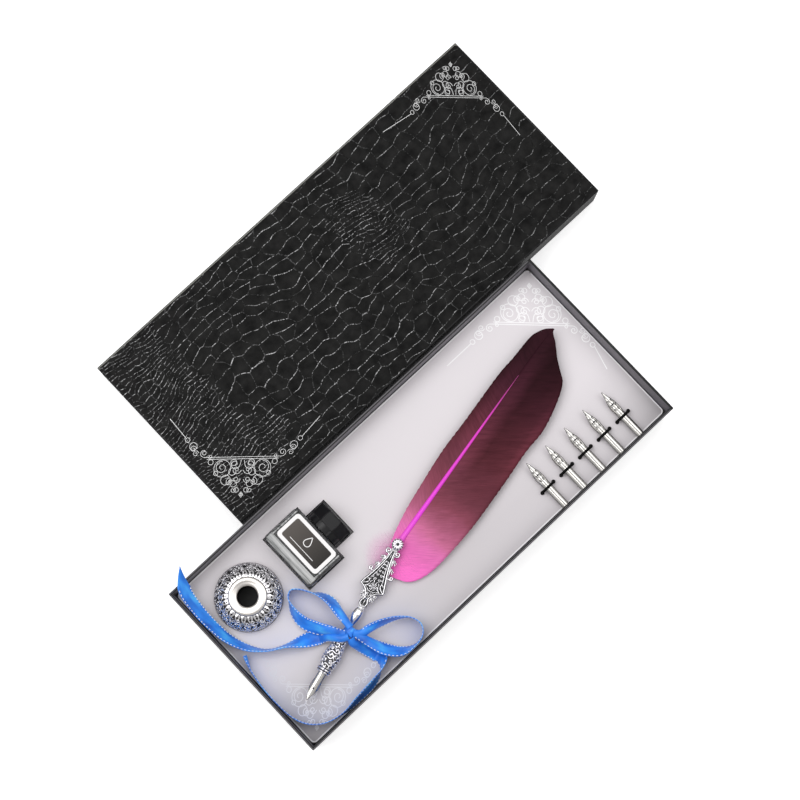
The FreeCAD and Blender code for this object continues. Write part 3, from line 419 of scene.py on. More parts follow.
def clear_glass():
    """Clear glass: the thick heel and two thin streaks near the ends are painted pale and half opaque, as
    painted light gathered in the glass; elsewhere the body lets the ink show.
    """
    paint = Paint("clear_glass", (0.8, 0.81, 0.81), 0.05)
    paint.set("IOR", 1.5)
    x, y, z = paint.split(paint.place)
    streak = paint.noise(paint.scaled(paint.place, 900.0, 40.0, 300.0), 1.0, 3.0)
    paint.color(paint.ramp(streak, (0.34, (0.22, 0.23, 0.23)), (0.52, (0.66, 0.67, 0.67)), (0.7, 0.92)))
    # painted light: the heel and the streaks take a pale, half opaque colour
    heel = paint.math("LESS_THAN", x, (BOTTLE[0] + BOTTLE_HEEL) * MM)
    away = paint.apart(paint.apart(y, BOTTLE[1] * MM), GLINT_ASIDE * MM)
    painted_glint = paint.math("LESS_THAN", away, GLINT_HALF * MM)
    paint.set("Alpha", paint.choose(paint.math("MAXIMUM", heel, painted_glint), 0.07, 0.58))
    paint.bump(streak, 0.03, 0.0003)
    return paint.material


def glass_rim():
    """The rounded rims of the glass, painted dark and nearly opaque as a painted refraction of the dark ink
    and cap.
    """
    paint = Paint("glass_rim", (0.03, 0.03, 0.032), 0.05)
    ripple = paint.grain(220.0, 2.0)
    paint.color(paint.ramp(ripple, (0.35, (0.012, 0.012, 0.013)), (0.65, (0.09, 0.09, 0.095))))
    paint.set("Alpha", 0.78)
    paint.bump(ripple, 0.05, 0.0003)
    return paint.material


def label_grey():
    """The dark panel of the label, paler towards its far end."""
    paint = Paint("label_grey", (0.10, 0.10, 0.105), 0.4, gloss=0.15)
    fade = paint.line(paint.split(paint.place)[1], 26.0, -0.25, True)
    fade = paint.math("ADD", fade, paint.product(paint.grain(900.0), 0.1), clamp=True)
    paint.color(paint.ramp(fade, (0.0, (0.008, 0.0075, 0.0075)), (1.0, (0.100, 0.088, 0.080))))
    return paint.material


BLACK_PAPER = lid_paper()
GREY_PAPER = plain("inner_paper", (0.150, 0.140, 0.160), 0.5, grain=1500.0)
RIM_PAPER = plain("rim_paper", RIM_DARK, 0.40, grain=1200.0, gloss=0.2)
LID_EDGE = edge_paper("lid_edge_paper", 1, LID_HIGH[1] - LIT_DEEP, "GREATER_THAN", (0.24, 0.24, 0.22))
BASE_EDGE = edge_paper("base_edge_paper", 0, BASE_HALF[0] - LIT_DEEP, "LESS_THAN", (0.15, 0.145, 0.155))
GREYBOARD = plain("greyboard", (0.34, 0.33, 0.31), 0.85, grain=600.0, mottle=0.25)
FOAM = plain("white_foam", (0.91, 0.90, 0.915), 0.9, grain=1500.0, bump=0.3, mottle=0.04)
CARD = pearl_card()
PRINT = pale_print()
FOIL = plain("silver_foil", (0.40, 0.40, 0.40), 0.32, 1.0, grain=2000.0, mottle=0.25)
SILVER = plain("cast_silver", (0.84, 0.83, 0.86), 0.19, 1.0, grain=2500.0, bump=0.03, mottle=0.05)
WARM_SILVER = plain("warm_silver", (0.74, 0.71, 0.68), 0.30, 1.0, grain=1500.0, bump=0.03, mottle=0.04)
TARNISH = plain("tarnish", (0.050, 0.050, 0.056), 0.40, 0.7, mottle=0.4)
SHADOW = plain("deep_tarnish", (0.014, 0.014, 0.016), 0.45, 0.4, mottle=0.4)
STEEL = plain("nib_steel", (0.66, 0.645, 0.62), 0.22, 1.0, grain=3500.0, bump=0.02, mottle=0.05)
ELASTIC = plain("elastic_cord", (0.004, 0.004, 0.004), 0.8, grain=2500.0, bump=0.5, gloss=0.1)
SATIN = satin_ribbon()
THREAD = plain("white_thread", (0.93, 0.94, 0.97), 0.5, grain=3000.0, bump=0.2, mottle=0.05)
VANE = feather_vane()
WISP = wisp("down_wisp")
VEIL = wisp("down_veil", True)
GLASS = clear_glass()
GLASS_EDGE = glass_rim()
INK = plain("ink", (0.004, 0.004, 0.005), 0.12, mottle=0.3, bump=0.02)
LABEL_WHITE = plain("label_white", (0.82, 0.81, 0.815), 0.5, mottle=0.02)
CAP_BLACK = plain("cap_black", (0.006, 0.006, 0.007), 0.30, bump=0.05, gloss=0.3)
CUP_BLACK = plain("cup_black", (0.003, 0.003, 0.003), 0.6)
LINER = plain("liner_white", (0.75, 0.75, 0.72), 0.6)
FELT = plain("black_felt", (0.01, 0.01, 0.01), 0.95, grain=2500.0, bump=0.6)


# Shapes
def shares(count):
    return [step / count for step in range(count + 1)]


def angles(count, extra=0):
    """Even steps round a circle; extra steps go on past its start."""
    return [2.0 * math.pi * step / count for step in range(count + extra)]


def circle(count, extra=0):
    return [(math.cos(angle), math.sin(angle)) for angle in angles(count, extra)]


def polar(x, y, reach, angle):
    return (x + reach * math.cos(angle), y + reach * math.sin(angle))


def way_along(path, index):
    return (path[min(index + 1, len(path) - 1)] - path[max(index - 1, 0)]).normalized()


class Shell:
    """The points and faces of one piece, in millimetres, with a flat place for each point."""

    def __init__(self):
        self.points = []
        self.faces = []
        self.places = []

    def rows(self, rows, closed=False):
        """Faces between rows of points, or of points with their flat places; a closed row joins its ends."""
        first = len(self.points)
        wide = len(rows[0])
        for row in rows:
            for spot in row:
                point, place = spot if isinstance(spot, tuple) else (spot, (0.0, 0.0))
                self.points.append(point)
                self.places.append(place)
        for near in range(first, len(self.points) - wide, wide):
            far = near + wide
            for spot in range(wide if closed else wide - 1):
                following = (spot + 1) % wide
                self.faces.append((near + spot, near + following, far + following, far + spot))
        return first

    def tube(self, path, radius, sides=6, taper=0.0, up=Vector((0, 0, 1)), flat=1.0):
        """A round line along a path, thinner at its ends by the taper, and flattened along up."""
        path = [Vector(spot) for spot in path]
        last = len(path) - 1
        rows = []
        for index, spot in enumerate(path):
            ahead = way_along(path, index)
            side = ahead.cross(up[index] if isinstance(up, list) else up)
            if side.length < 1e-6:
                side = ahead.orthogonal()
            side.normalize()
            above = side.cross(ahead).normalized()
            end = min(index, last - index) / max(last, 1)
            thick = radius * (1.0 - taper * max(0.0, 1.0 - 4.0 * end))
            rows.append([spot + side * (x * thick) + above * (y * thick * flat) for x, y in circle(sides)])
        first = self.rows(rows, closed=True)
        end = first + last * sides
        self.faces.append(tuple(range(first, first + sides)))
        self.faces.append(tuple(reversed(range(end, end + sides))))

    def strip(self, path, width, low, high):
        """A flat line drawn on a level face."""
        path = [Vector((x, y, 0)) for x, y in path]
        rows = []
        for index, spot in enumerate(path):
            ahead = way_along(path, index)
            side = Vector((-ahead.y, ahead.x, 0)) * (width / 2)
            corners = ((spot + side, low), (spot + side, high), (spot - side, high), (spot - side, low))
            rows.append([Vector((*corner.xy, level)) for corner, level in corners])
        self.rows(rows)

    def ball(self, centre, radius, up=1.0, rings=6, sides=10):
        rows = []
        for ring in range(rings + 1):
            tilt = math.pi * ring / rings
            wide = radius * math.sin(tilt)
            level = radius * up * math.cos(tilt)
            rows.append([Vector(centre) + Vector((wide * x, wide * y, level)) for x, y in circle(sides)])
        self.rows(rows, closed=True)

    def bead(self, centre, radius):
        self.ball(centre, radius, rings=4, sides=7)


def riding(name, data, body, replaces=()):
    """One object that rides on a body and the solids it stands for."""
    thing = bpy.data.objects.new(name, data)
    scene.collection.objects.link(thing)
    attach(thing, body)
    if replaces:
        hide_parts(*replaces)
    return thing


def piece(name, shell, material, body, place=Matrix.Identity(4), smooth=True, replaces=(), thick=0.0):
    """One object of the shell, riding on a body; a thin sheet is given its thickness."""
    mesh = bpy.data.meshes.new(name)
    mesh.from_pydata([(place @ Vector(spot)) * MM for spot in shell.points], [], shell.faces)
    layer = mesh.uv_layers.new(name="UVMap")
    for loop in mesh.loops:
        layer.data[loop.index].uv = shell.places[loop.vertex_index]
    mesh.polygons.foreach_set("use_smooth", [smooth] * len(mesh.polygons))
    mesh.materials.append(material)
    mesh.update()
    thing = riding(name, mesh, body, replaces)
    if thick:
        solid = thing.modifiers.new("thickness", "SOLIDIFY")
        solid.thickness = thick * MM
        solid.offset = 0.0
    return thing


def curl(x, y, heading, radius, turns=1.3, hand=1, lead=0.0):
    """A line that runs straight for its lead and then winds inwards, as points on a plane."""
    spots = [(x, y)]
    angle = math.radians(heading)
    if lead:
        spots.append(polar(x, y, lead, angle))
    count = max(int(turns * 16), 4)
    step = 2.0 * math.pi * turns / count
    for index in range(count):
        reach = radius * (1.0 - 0.82 * index / count)
        angle += hand * step / 2
        spots.append(polar(*spots[-1], reach * step, angle))
        angle += hand * step / 2
    return spots


def double_curl(heading, radius, turns):
    """Two curls from one point, in an S."""
    back = curl(0.0, 0.0, heading + 180.0, radius, turns)
    return list(reversed(back)) + curl(0.0, 0.0, heading, radius, turns)[1:]


def ring(x, y, radius):
    return [(x + radius * cosine, y + radius * sine) for cosine, sine in circle(28, 1)]


def rounded(length, width, corner, steps=6):
    """The outline of a rounded rectangle about the origin."""
    spots = []
    for x, y, start in ((1, 1, 0), (-1, 1, 90), (-1, -1, 180), (1, -1, 270)):
        for step in range(steps + 1):
            angle = math.radians(start + 90.0 * step / steps)
            spots.append(polar(x * (length / 2 - corner), y * (width / 2 - corner), corner, angle))
    return spots


def smooth_line(points, per_span=6):
    """Points along a smooth line through the given ones, of any number of values each."""
    last = len(points) - 1
    spots = []
    for index in range(last):
        around = (points[max(index - 1, 0)], points[index], points[index + 1], points[min(index + 2, last)])
        for step in range(per_span):
            t = step / per_span
            spot = []
            for a, b, c, d in zip(*around):
                bend = (2 * a - 5 * b + 4 * c - d) * t**2 + (3 * b - a - 3 * c + d) * t**3
                spot.append(0.5 * (2 * b + (c - a) * t + bend))
            spots.append(tuple(spot))
    spots.append(tuple(points[-1]))
    return spots


def turned(shell, profile, sides):
    """A turned surface about the Z axis, from (radius, height) pairs."""
    rows = []
    for radius, height in profile:
        rows.append([Vector((radius * x, radius * y, height)) for x, y in circle(sides)])
    shell.rows(rows, closed=True)


def share_at(shares, place):
    """The value of a table of (place, value) pairs, eased between its rows."""
    for (low, first), (high, second) in zip(shares, shares[1:]):
        if place <= high:
            t = min(max((place - low) / (high - low), 0.0), 1.0)
            return first + (second - first) * t
    return shares[-1][1]


# Solids that keep their shape take their finish
SIDES = ("front", "back", "left", "right")
FINISHED = (
    (GREYBOARD, ("base_floor", "lid_top")), (BLACK_PAPER, ("lid_wrap", "base_wrap")),
    (FOAM, ("foam_base_layer", "foam_pocket_layer")), (CARD, ("insert_card",)),
    (LABEL_WHITE, ("bottle_label",)), (CAP_BLACK, ("bottle_cap",)), (LINER, ("cap_liner",)),
    (SHADOW, ("stand_body",)), (CUP_BLACK, ("stand_cup",)), (FELT, ("stand_felt",)),
    (TARNISH, ("pen_grip", "flower_boss")), (STEEL, ("nib_ferrule", "pen_nib")), (SILVER, ("pen_stem",)),
    (GREYBOARD, [f"{box}_wall_{side}" for box in ("base", "lid") for side in SIDES]),
    (STEEL, [f"spare_nib_{number}" for number in SPARE_NUMBERS]),
)
for material, names in FINISHED:
    for name in names:
        nodes[name].data.materials.clear()
        nodes[name].data.materials.append(material)


def base_paper():
    """Dark paper outside and over the rim, grey paper on the inner faces."""
    wrap = nodes["base_wrap"].data
    wrap.materials.append(GREY_PAPER)
    wrap.materials.append(RIM_PAPER)
    for face in wrap.polygons:
        if face.normal.z > 0.5:
            face.material_index = 2
        elif face.normal.x * face.center.x + face.normal.y * face.center.y < 0:
            face.material_index = 1


base_paper()

# Filigree in the corners of the card and of the lid: scrolls in a triangle over a double line
# One half of it, on its own base line, to the side and towards the corner
FILIGREE_HALF = 26.0
FILIGREE_TALL = 26.5
HALF_FILIGREE = (
    [(0, 0), (26, 0)], [(0, 1.3), (24, 1.3)],
    ring(13.4, 7.4, 5.6), curl(13.4, 2.6, 0, 4.2, 1.5, 1), ring(21.4, 3.2, 1.7), ring(5.9, 3.6, 2.0),
    curl(1.0, 2.0, 80, 3.4, 1.3, -1, 3.0), curl(0.6, 8.6, 60, 2.9, 1.3, -1, 1.2), ring(6.6, 9.6, 2.4),
    curl(8.6, 13.6, 20, 2.6, 1.4, 1), ring(10.8, 15.0, 3.2), curl(1.0, 14.6, 70, 2.3, 1.3, -1, 0.8),
    ring(5.4, 17.4, 2.2), curl(4.4, 20.0, 140, 1.9, 1.3, -1), ring(3.2, 21.6, 1.5),
    curl(0.0, 23.6, 40, 1.1, 1.2, 1), [(0, 26.5), (1.2, 24.6), (0, 22.8)], ring(17.6, 10.6, 1.4),
    curl(26, 0, -20, 2.4, 1.4, -1, 1.0), curl(29.6, -3.0, -60, 2.0, 1.4, 1, 0.5), ring(33.6, -7.4, 2.5),
    curl(31.4, -6.2, -70, 2.1, 1.4, 1), ring(37.6, -11.6, 1.5), curl(23.0, 0.4, 140, 1.4, 1.2, 1),
)
TAIL_START = (38.8, -12.8)
TAIL_WIDER = 1.15
LINE_STEP = 0.0015
LINE_SUNK = 0.02
PRINT_THICK = 0.03
PRINT_LINE = 0.52
FOIL_THICK = 0.04
FOIL_LINE = 0.3

# Each corner: its apex, the ends of its base line and the far ends of its side lines
CARD_CORNERS = (
    ((142.4, 54.1), ((106.8, 52.0), (143.6, 15.9)), ((69.2, 51.1), (140.2, -18.0))),
    ((-141.0, -56.4), ((-136.9, -22.1), (-105.2, -52.8)), ((-140.4, 12.0), (-72.0, -55.0))),
)
LID_CORNERS = (
    ((203.0, 189.8), ((175.4, 184.5), (203.5, 157.5)), ((141.2, 185.6), (202.6, 125.7))),
    ((-79.0, 78.0), ((-78.7, 111.2), (-43.4, 79.4)), ((-77.8, 142.9), (-9.6, 81.5))),
)


def filigree(name, material, body, level, thick, line, corners):
    """The ornament in each corner; each line lies a hair higher than the one before it."""
    shell = Shell()
    low = level - LINE_SUNK
    for apex, ends, far_ends in corners:
        middle = (Vector(ends[0]) + Vector(ends[1])) / 2
        rise = (Vector(apex) - middle) / FILIGREE_TALL
        for half, (end, far_end) in enumerate(zip(ends, far_ends)):
            aside = (Vector(end) - middle) / FILIGREE_HALF
            for number, path in enumerate(HALF_FILIGREE):
                top = level + thick + LINE_STEP * (2 * number + half)
                shell.strip([middle + aside * u + rise * v for u, v in path], line, low, top)
            start = middle + aside * TAIL_START[0] + rise * TAIL_START[1]
            shell.strip([start, far_end], line * TAIL_WIDER, low, level + thick)
    piece(name, shell, material, body, smooth=False)


filigree("card_print", PRINT, "box_base", CARD_TOP, PRINT_THICK, PRINT_LINE, CARD_CORNERS)
filigree("lid_foil", FOIL, "lid", LID_TOP, FOIL_THICK, FOIL_LINE, LID_CORNERS)

# Soft edges of the paper where it turns over the rims, and the white edge of the foam round the card
LID_ROUND = 0.8
BASE_ROUND = 0.55
EDGE_PROUD = 0.08
FOAM_LINE = 0.8
FOAM_DEEP = 0.5
FOAM_PROUD = 0.03


def edge_line(name, low, high, level, round_by, material, body):
    """A rounded edge along a rectangle, set in so that it stays flush with its sides and top."""
    shell = Shell()
    inset = round_by - EDGE_PROUD
    left, front = (part + inset for part in low)
    right, back = (part - inset for part in high)
    height = level - inset
    corners = [(left, front, height), (right, front, height), (right, back, height), (left, back, height)]
    for ends in zip(corners, corners[1:] + corners[:1]):
        shell.tube(ends, round_by, 12)
    for corner in corners:
        shell.ball(corner, round_by)
    piece(name, shell, material, body)


def card_edge():
    """The white edge of the foam, seen as a thin line all round the card."""
    shell = Shell()
    outline = rounded(2 * CARD_HALF[0] - FOAM_LINE, 2 * CARD_HALF[1] - FOAM_LINE, CARD_CORNER)
    shell.strip(outline + outline[:2], FOAM_LINE, CARD_TOP - FOAM_DEEP, CARD_TOP + FOAM_PROUD)
    piece("card_edge", shell, FOAM, "box_base", smooth=False)


edge_line("lid_edge", LID_LOW, LID_HIGH, LID_TOP, LID_ROUND, LID_EDGE, "lid")
BASE_LOW = [-part for part in BASE_HALF]
edge_line("base_edge", BASE_LOW, BASE_HALF, BASE_TALL, BASE_ROUND, BASE_EDGE, "box_base")
card_edge()


# Pen stand: scrolls cast over a dark bulb, a collar of leaves, and a black hole under the bright rim
def curve_radius(inset, rise):
    return (inset**2 + rise**2) / (2 * inset)


UPPER_CURVE = curve_radius(STAND_RADIUS - STAND_RIM, STAND_SHOULDER - STAND_BELLY)
LOWER_CURVE = curve_radius(STAND_RADIUS - STAND_FOOT, STAND_BELLY - STAND_FOOT_TOP)
STAND_LOWEST = -15.0
STAND_HIGHEST = 14.3
FOOT_LINE = 0.45

# Rows of scrolls: up the slope from the belly, how many, and their radius
SCROLL_ROWS = (
    (-13.4, 20, 1.25), (-10.6, 22, 1.35), (-7.8, 24, 1.4), (-5.0, 26, 1.4), (-2.3, 27, 1.4), (0.4, 27, 1.4),
    (3.0, 27, 1.35), (5.4, 26, 1.3), (7.6, 24, 1.2), (9.4, 22, 1.1),
)
SCROLL_SUNK = 0.1
LEAVES = 22
LEAF_LOW = 8.6
LEAF_PROUD = 0.10
LEAF_CAMBER = 0.22
LEAF_VEIN = [(0.0, 0.4), (0.0, 2.4), (0.0, 4.8)]
VEIN_THICK = 0.16
VEIN_PROUD = 0.34
LEAF_ARCH = [(1.2, 0.2), (1.7, -0.9), (0.9, -1.8), (0.0, -1.2)]
ARCH_UP = 1.0
ARCH_THICK = 0.3
BEAD_UP = 1.7
BEAD_RADIUS = 0.5

# Dark curls on a leaf: aside, up, lean, radius, lead, up from the leaf's foot, thickness
LEAF_CURLS = ((0.1, 2.0, 55, 0.55, 0.3, 0.8, 0.24), (0.2, 4.0, 20, 0.42, 0.2, 0.4, 0.20))
CURL_PROUD = 0.30

# The rim from the hole outwards: radius, and how far under its top
RING_PROFILE = (
    (STAND_HOLE, 1.5), (6.45, 1.05), (6.9, 0.7), (7.6, 0.46), (8.3, 0.38), (8.7, 0.32), (9.2, 0.1),
    (9.9, 0.0),
    (10.6, 0.1), (11.2, 0.3), (11.55, 0.5), (STAND_RIM, 0.75),
)


def bulb(angle, up):
    """A point on the stand's bulb and the way out of it; up runs over the curve from the belly to the rim."""
    curve = UPPER_CURVE if up > 0 else LOWER_CURVE
    tilt = up / curve
    across = STAND_RADIUS - curve + curve * math.cos(tilt)
    spot = Vector((*polar(0.0, 0.0, across, angle), STAND_BELLY + curve * math.sin(tilt)))
    return spot, Vector((*polar(0.0, 0.0, math.cos(tilt), angle), math.sin(tilt)))


def on_bulb(shell, flat, angle, up, thick, sunk=SCROLL_SUNK):
    """A raised line on the bulb: flat gives its points as (around, up the slope) from one place on it."""
    around = bulb(angle, up)[0].xy.length
    spots = [bulb(angle + x / around, min(max(up + y, STAND_LOWEST), STAND_HIGHEST)) for x, y in flat]
    shell.tube([spot - out * sunk for spot, out in spots], thick, 5, 0.4, [out for spot, out in spots])


def stand_relief():
    """Rows of small scrolls with beads between them, up to a bright collar."""
    shell = Shell()
    for row, (up, count, radius) in enumerate(SCROLL_ROWS):
        for number in range(count):
            angle = 2 * math.pi * (number + 0.5 * (row % 2)) / count
            heading = draw.uniform(25.0, 65.0)
            hand = -1 if (number + row) % 2 else 1
            flat = [(x, hand * y) for x, y in double_curl(heading, radius * draw.uniform(0.85, 1.1), 1.15)]
            on_bulb(shell, flat, angle, up, draw.uniform(0.28, 0.40))
            spot, out = bulb(angle + math.pi / count, up + draw.uniform(-0.6, 0.9))
            shell.bead(spot - out * SCROLL_SUNK, draw.uniform(0.36, 0.54))
    shell.tube([bulb(angle, STAND_LOWEST)[0] for angle in angles(60, 1)], FOOT_LINE)
    piece("stand_scrolls", shell, SILVER, "stand", STAND_PLACE)


def stand_collar():
    """Bright pointed leaves round the rim, outlined and veined in dark lines."""
    bright = Shell()
    dark = Shell()
    half = math.pi / LEAVES
    for number in range(LEAVES):
        angle = 2 * math.pi * (number + 0.3) / LEAVES
        rows = []
        for t in shares(8):
            wide = half * min(1.0, 0.06 + 1.25 * t) * 0.88
            row = []
            for across in (spot / 3 - 1 for spot in range(7)):
                place, out = bulb(angle + wide * across, LEAF_LOW + (STAND_HIGHEST - LEAF_LOW) * t)
                row.append(place + out * (LEAF_PROUD + LEAF_CAMBER * (1 - across * across)))
            rows.append(row)
        bright.rows(rows)
        for side in (1, -1):
            for aside, up, lean, radius, lead, foot, thick in LEAF_CURLS:
                flat = curl(side * aside, up, 90 - side * lean, radius, 1.2, side, lead)
                on_bulb(dark, flat, angle, LEAF_LOW + foot, thick, -CURL_PROUD)
            arch = smooth_line([(side * x, y) for x, y in LEAF_ARCH], 4)
            on_bulb(bright, arch, angle + half, LEAF_LOW + ARCH_UP, ARCH_THICK, 0.0)
        on_bulb(dark, LEAF_VEIN, angle, LEAF_LOW, VEIN_THICK, -VEIN_PROUD)
        spot, out = bulb(angle + half, LEAF_LOW + BEAD_UP)
        bright.bead(spot + out * SCROLL_SUNK, BEAD_RADIUS)
    piece("stand_leaves", bright, SILVER, "stand", STAND_PLACE)
    piece("stand_veins", dark, SHADOW, "stand", STAND_PLACE)


def stand_ring():
    """The rim: a polished rounded ring, a groove and a dished inner edge down to the hole."""
    shell = Shell()
    hole = (STAND_HOLE, STAND_SHOULDER)
    upper = [(radius, STAND_TALL - under) for radius, under in RING_PROFILE]
    turned(shell, (hole, *upper, (STAND_RIM, STAND_SHOULDER), hole), 96)
    piece("stand_ring", shell, WARM_SILVER, "stand", STAND_PLACE, replaces=("stand_rim",))


stand_relief()
stand_collar()
stand_ring()

# Bottle: glass with a thick heel, ink that meets it, and a printed label
GLASS_CORNER = 3.2
GLASS_SOFT = 1.3
HOLLOW_CORNER = 2.0
HOLLOW_SOFT = 0.8
FLAT_ENOUGH = 0.985
INK_LARGER = 1.008
LABEL_BORDER = 2.3
LABEL_CORNER = 1.4
RULE = [(-4.4, -10.0), (-4.4, 10.0)]
RULE_WIDE = 0.35
DROP_WIDE = 0.5
DROP_HALF = 3.2
DROP_LONG = 3.4
DROP_UP = 1.8
PANEL_LOW = -0.05
PANEL_HIGH = 0.04
MARK_LOW = 0.02
MARK_HIGH = 0.06


def soft_box(mesh, low, high, corner, soft, inward=False):
    """A box with round corners and softer rims, its faces turned inward where it is the wall of a hollow."""

    def rise(edge):
        return abs(edge.verts[0].co.z - edge.verts[1].co.z)

    before = set(mesh.verts)
    size = [b - a for a, b in zip(low, high)]
    middle = [(a + b) / 2 for a, b in zip(low, high)]
    bmesh.ops.create_cube(mesh, size=1.0, matrix=Matrix.Translation(middle) @ Matrix.Diagonal((*size, 1.0)))
    upright = [edge for edge in mesh.edges if edge.verts[0] not in before and rise(edge) > soft]
    bmesh.ops.bevel(mesh, geom=upright, offset=corner, segments=6, affect="EDGES", profile=0.5)
    rims = [edge for edge in mesh.edges if edge.verts[0] not in before and rise(edge) < 0.001]
    bmesh.ops.bevel(mesh, geom=rims, offset=soft, segments=4, affect="EDGES", profile=0.5)
    if inward:
        faces = {face for spot in mesh.verts if spot not in before for face in spot.link_faces}
        bmesh.ops.reverse_faces(mesh, faces=list(faces))


def bottle_shell():
    """Clear glass with a thick heel, rounded edges, and the neck under the cap."""
    mesh = bmesh.new()
    outer = Vector((BOTTLE_TALL, BOTTLE_WIDE / 2, BOTTLE_DEEP / 2))
    inner = outer - Vector((BOTTLE_WALL, BOTTLE_WALL, BOTTLE_WALL))
    soft_box(mesh, (0.0, -outer.y, -outer.z), outer, GLASS_CORNER, GLASS_SOFT)
    soft_box(mesh, (BOTTLE_HEEL, -inner.y, -inner.z), inner, HOLLOW_CORNER, HOLLOW_SOFT, True)
    shell = Shell()
    mesh.verts.ensure_lookup_table()
    shell.points = [spot.co.copy() for spot in mesh.verts]
    shell.places = [(0.0, 0.0)] * len(shell.points)
    shell.faces = [tuple(spot.index for spot in face.verts) for face in mesh.faces]
    mesh.free()
    end = BOTTLE_TALL + NECK_LONG
    neck = ((BOTTLE_TALL, NECK_BORE), (end, NECK_BORE), (end, NECK_RADIUS), (BOTTLE_TALL, NECK_RADIUS))
    rows = [[Vector((along, radius * y, radius * z)) for y, z in circle(48)] for along, radius in neck]
    shell.rows(rows + rows[:1], closed=True)
    place = Matrix.Translation(BOTTLE)
    thing = piece("bottle_shell", shell, GLASS, "bottle", place, replaces=("bottle_glass",))
    thing.data.materials.append(GLASS_EDGE)
    # the rounded faces take the rim finish, a painted refraction of the dark ink and cap
    for face in thing.data.polygons:
        if max(abs(part) for part in face.normal) < FLAT_ENOUGH:
            face.material_index = 1
    thing.modifiers.new("even_faces", "WEIGHTED_NORMAL")


def ink_fill():
    """The ink, a hair larger than its solid so that glass and ink meet with no film of air."""
    mesh = nodes["ink"].data.copy()
    mesh.name = "ink_fill"
    centre = sum((spot.co for spot in mesh.vertices), Vector()) / len(mesh.vertices)
    for spot in mesh.vertices:
        spot.co = centre + (spot.co - centre) * INK_LARGER
    mesh.materials.clear()
    mesh.materials.append(INK)
    riding("ink_fill", mesh, "bottle", ("ink",))


def flat_panel(name, outline, low, high, material, body, place):
    shell = Shell()
    rows = [[Vector((x, y, level)) for x, y in outline] for level in (low, high)]
    top = shell.rows(rows, closed=True) + len(outline)
    shell.faces.append(tuple(range(top, top + len(outline))))
    piece(name, shell, material, body, place, smooth=False)


def label():
    """A dark panel in a pale border, with a plain rule and the outline of a drop."""
    place = Matrix.Translation((BOTTLE[0] + LABEL_UP + LABEL_TALL / 2, BOTTLE[1], LABEL_TOP))
    outline = rounded(LABEL_TALL - 2 * LABEL_BORDER, LABEL_WIDE - 2 * LABEL_BORDER, LABEL_CORNER)
    flat_panel("label_panel", outline, PANEL_LOW, PANEL_HIGH, label_grey(), "bottle", place)
    shell = Shell()
    shell.strip(RULE, RULE_WIDE, MARK_LOW, MARK_HIGH)
    drop = []
    for angle in angles(40, 1):
        out = DROP_HALF * math.sin(angle) * math.sin(angle / 2) ** 1.5
        drop.append((DROP_LONG * math.cos(angle) + DROP_UP, out))
    shell.strip(drop, DROP_WIDE, MARK_LOW, MARK_HIGH)
    piece("label_marks", shell, LABEL_WHITE, "bottle", place, smooth=False)


bottle_shell()
ink_fill()
label()

# Cap: a fine edge along each facet of the octagon, and one round each end of the facets
FACET_START = 4.1
FACET_INSET = 0.1
FACET_LINE = 0.32
END_LINE = 0.3
END_INSET = 0.25


def cap_edges():
    shell = Shell()
    corner = CAP_HALF / math.cos(math.radians(22.5))
    facets = [math.radians(22.5 + 45.0 * step) for step in range(9)]
    for angle in facets[:8]:
        spot = polar(0.0, 0.0, corner, angle)
        shell.tube([(FACET_START + FACET_INSET, *spot), (CAP_LONG - 2 * FACET_INSET, *spot)], FACET_LINE)
    for along in (FACET_START, CAP_LONG - END_INSET):
        path = [(along, *polar(0.0, 0.0, corner - FACET_INSET / 2, angle)) for angle in facets]
        shell.tube(path, END_LINE, up=Vector((1, 0, 0)))
    piece("cap_edges", shell, CAP_BLACK, "cap", Matrix.Translation((CAP_START, *BOTTLE[1:])))


cap_edges()

# Pen: scrolls round the grip, ribs and vines on the frame, petals on the flower
GRIP_SHARES = (
    (0.0, 0.80), (0.06, 0.90), (0.10, 0.90), (0.13, 0.78), (0.20, 0.84), (0.34, 0.98),
    (0.50, 1.0), (0.62, 0.94), (0.72, 0.80), (0.84, 0.68), (0.93, 0.70), (1.0, 0.56),
)

# Scrolls round the grip: along the pen, how many, and their radius; then its rings and their thickness
GRIP_ROWS = ((25.2, 7, 1.75), (29.4, 8, 1.9), (33.6, 8, 1.8), (37.4, 7, 1.5), (40.6, 6, 1.0))
GRIP_RINGS = ((20.0, 0.6), (21.6, 0.75), (23.0, 0.4), (42.2, 0.5))
RELIEF_FROM = 23.4
RELIEF_TO = 42.6
RELIEF_LIFT = 0.1
GRIP_LINE = 0.5
GRIP_BEAD = 0.55
GRIP_BEAD_ALONG = 2.0


def grip_radius(along):
    return GRIP_RADIUS * share_at(GRIP_SHARES, (along - GRIP_START) / GRIP_LONG)


def on_grip(along, angle, lift=0.0):
    radius = grip_radius(along) + lift
    return Vector((along, radius * math.sin(angle), radius * math.cos(angle)))


def grip_relief():
    shell = Shell()
    for row, (along, count, radius) in enumerate(GRIP_ROWS):
        for number in range(count):
            angle = 2 * math.pi * (number + 0.5 * (row % 2)) / count
            hand = -1 if number % 2 else 1
            path = []
            for x, y in double_curl(55.0 * hand, radius, 1.1):
                place = min(max(along + x, RELIEF_FROM), RELIEF_TO)
                path.append(on_grip(place, angle + hand * y / grip_radius(along), RELIEF_LIFT))
            shell.tube(path, GRIP_LINE, 6, 0.3, [Vector((0, spot.y, spot.z)) for spot in path])
            shell.bead(on_grip(along + GRIP_BEAD_ALONG, angle, RELIEF_LIFT), GRIP_BEAD)
    for along, thick in GRIP_RINGS:
        shell.tube([on_grip(along, angle) for angle in angles(40, 1)], thick)
    piece("grip_scrolls", shell, SILVER, "pen", PEN_PLACE)


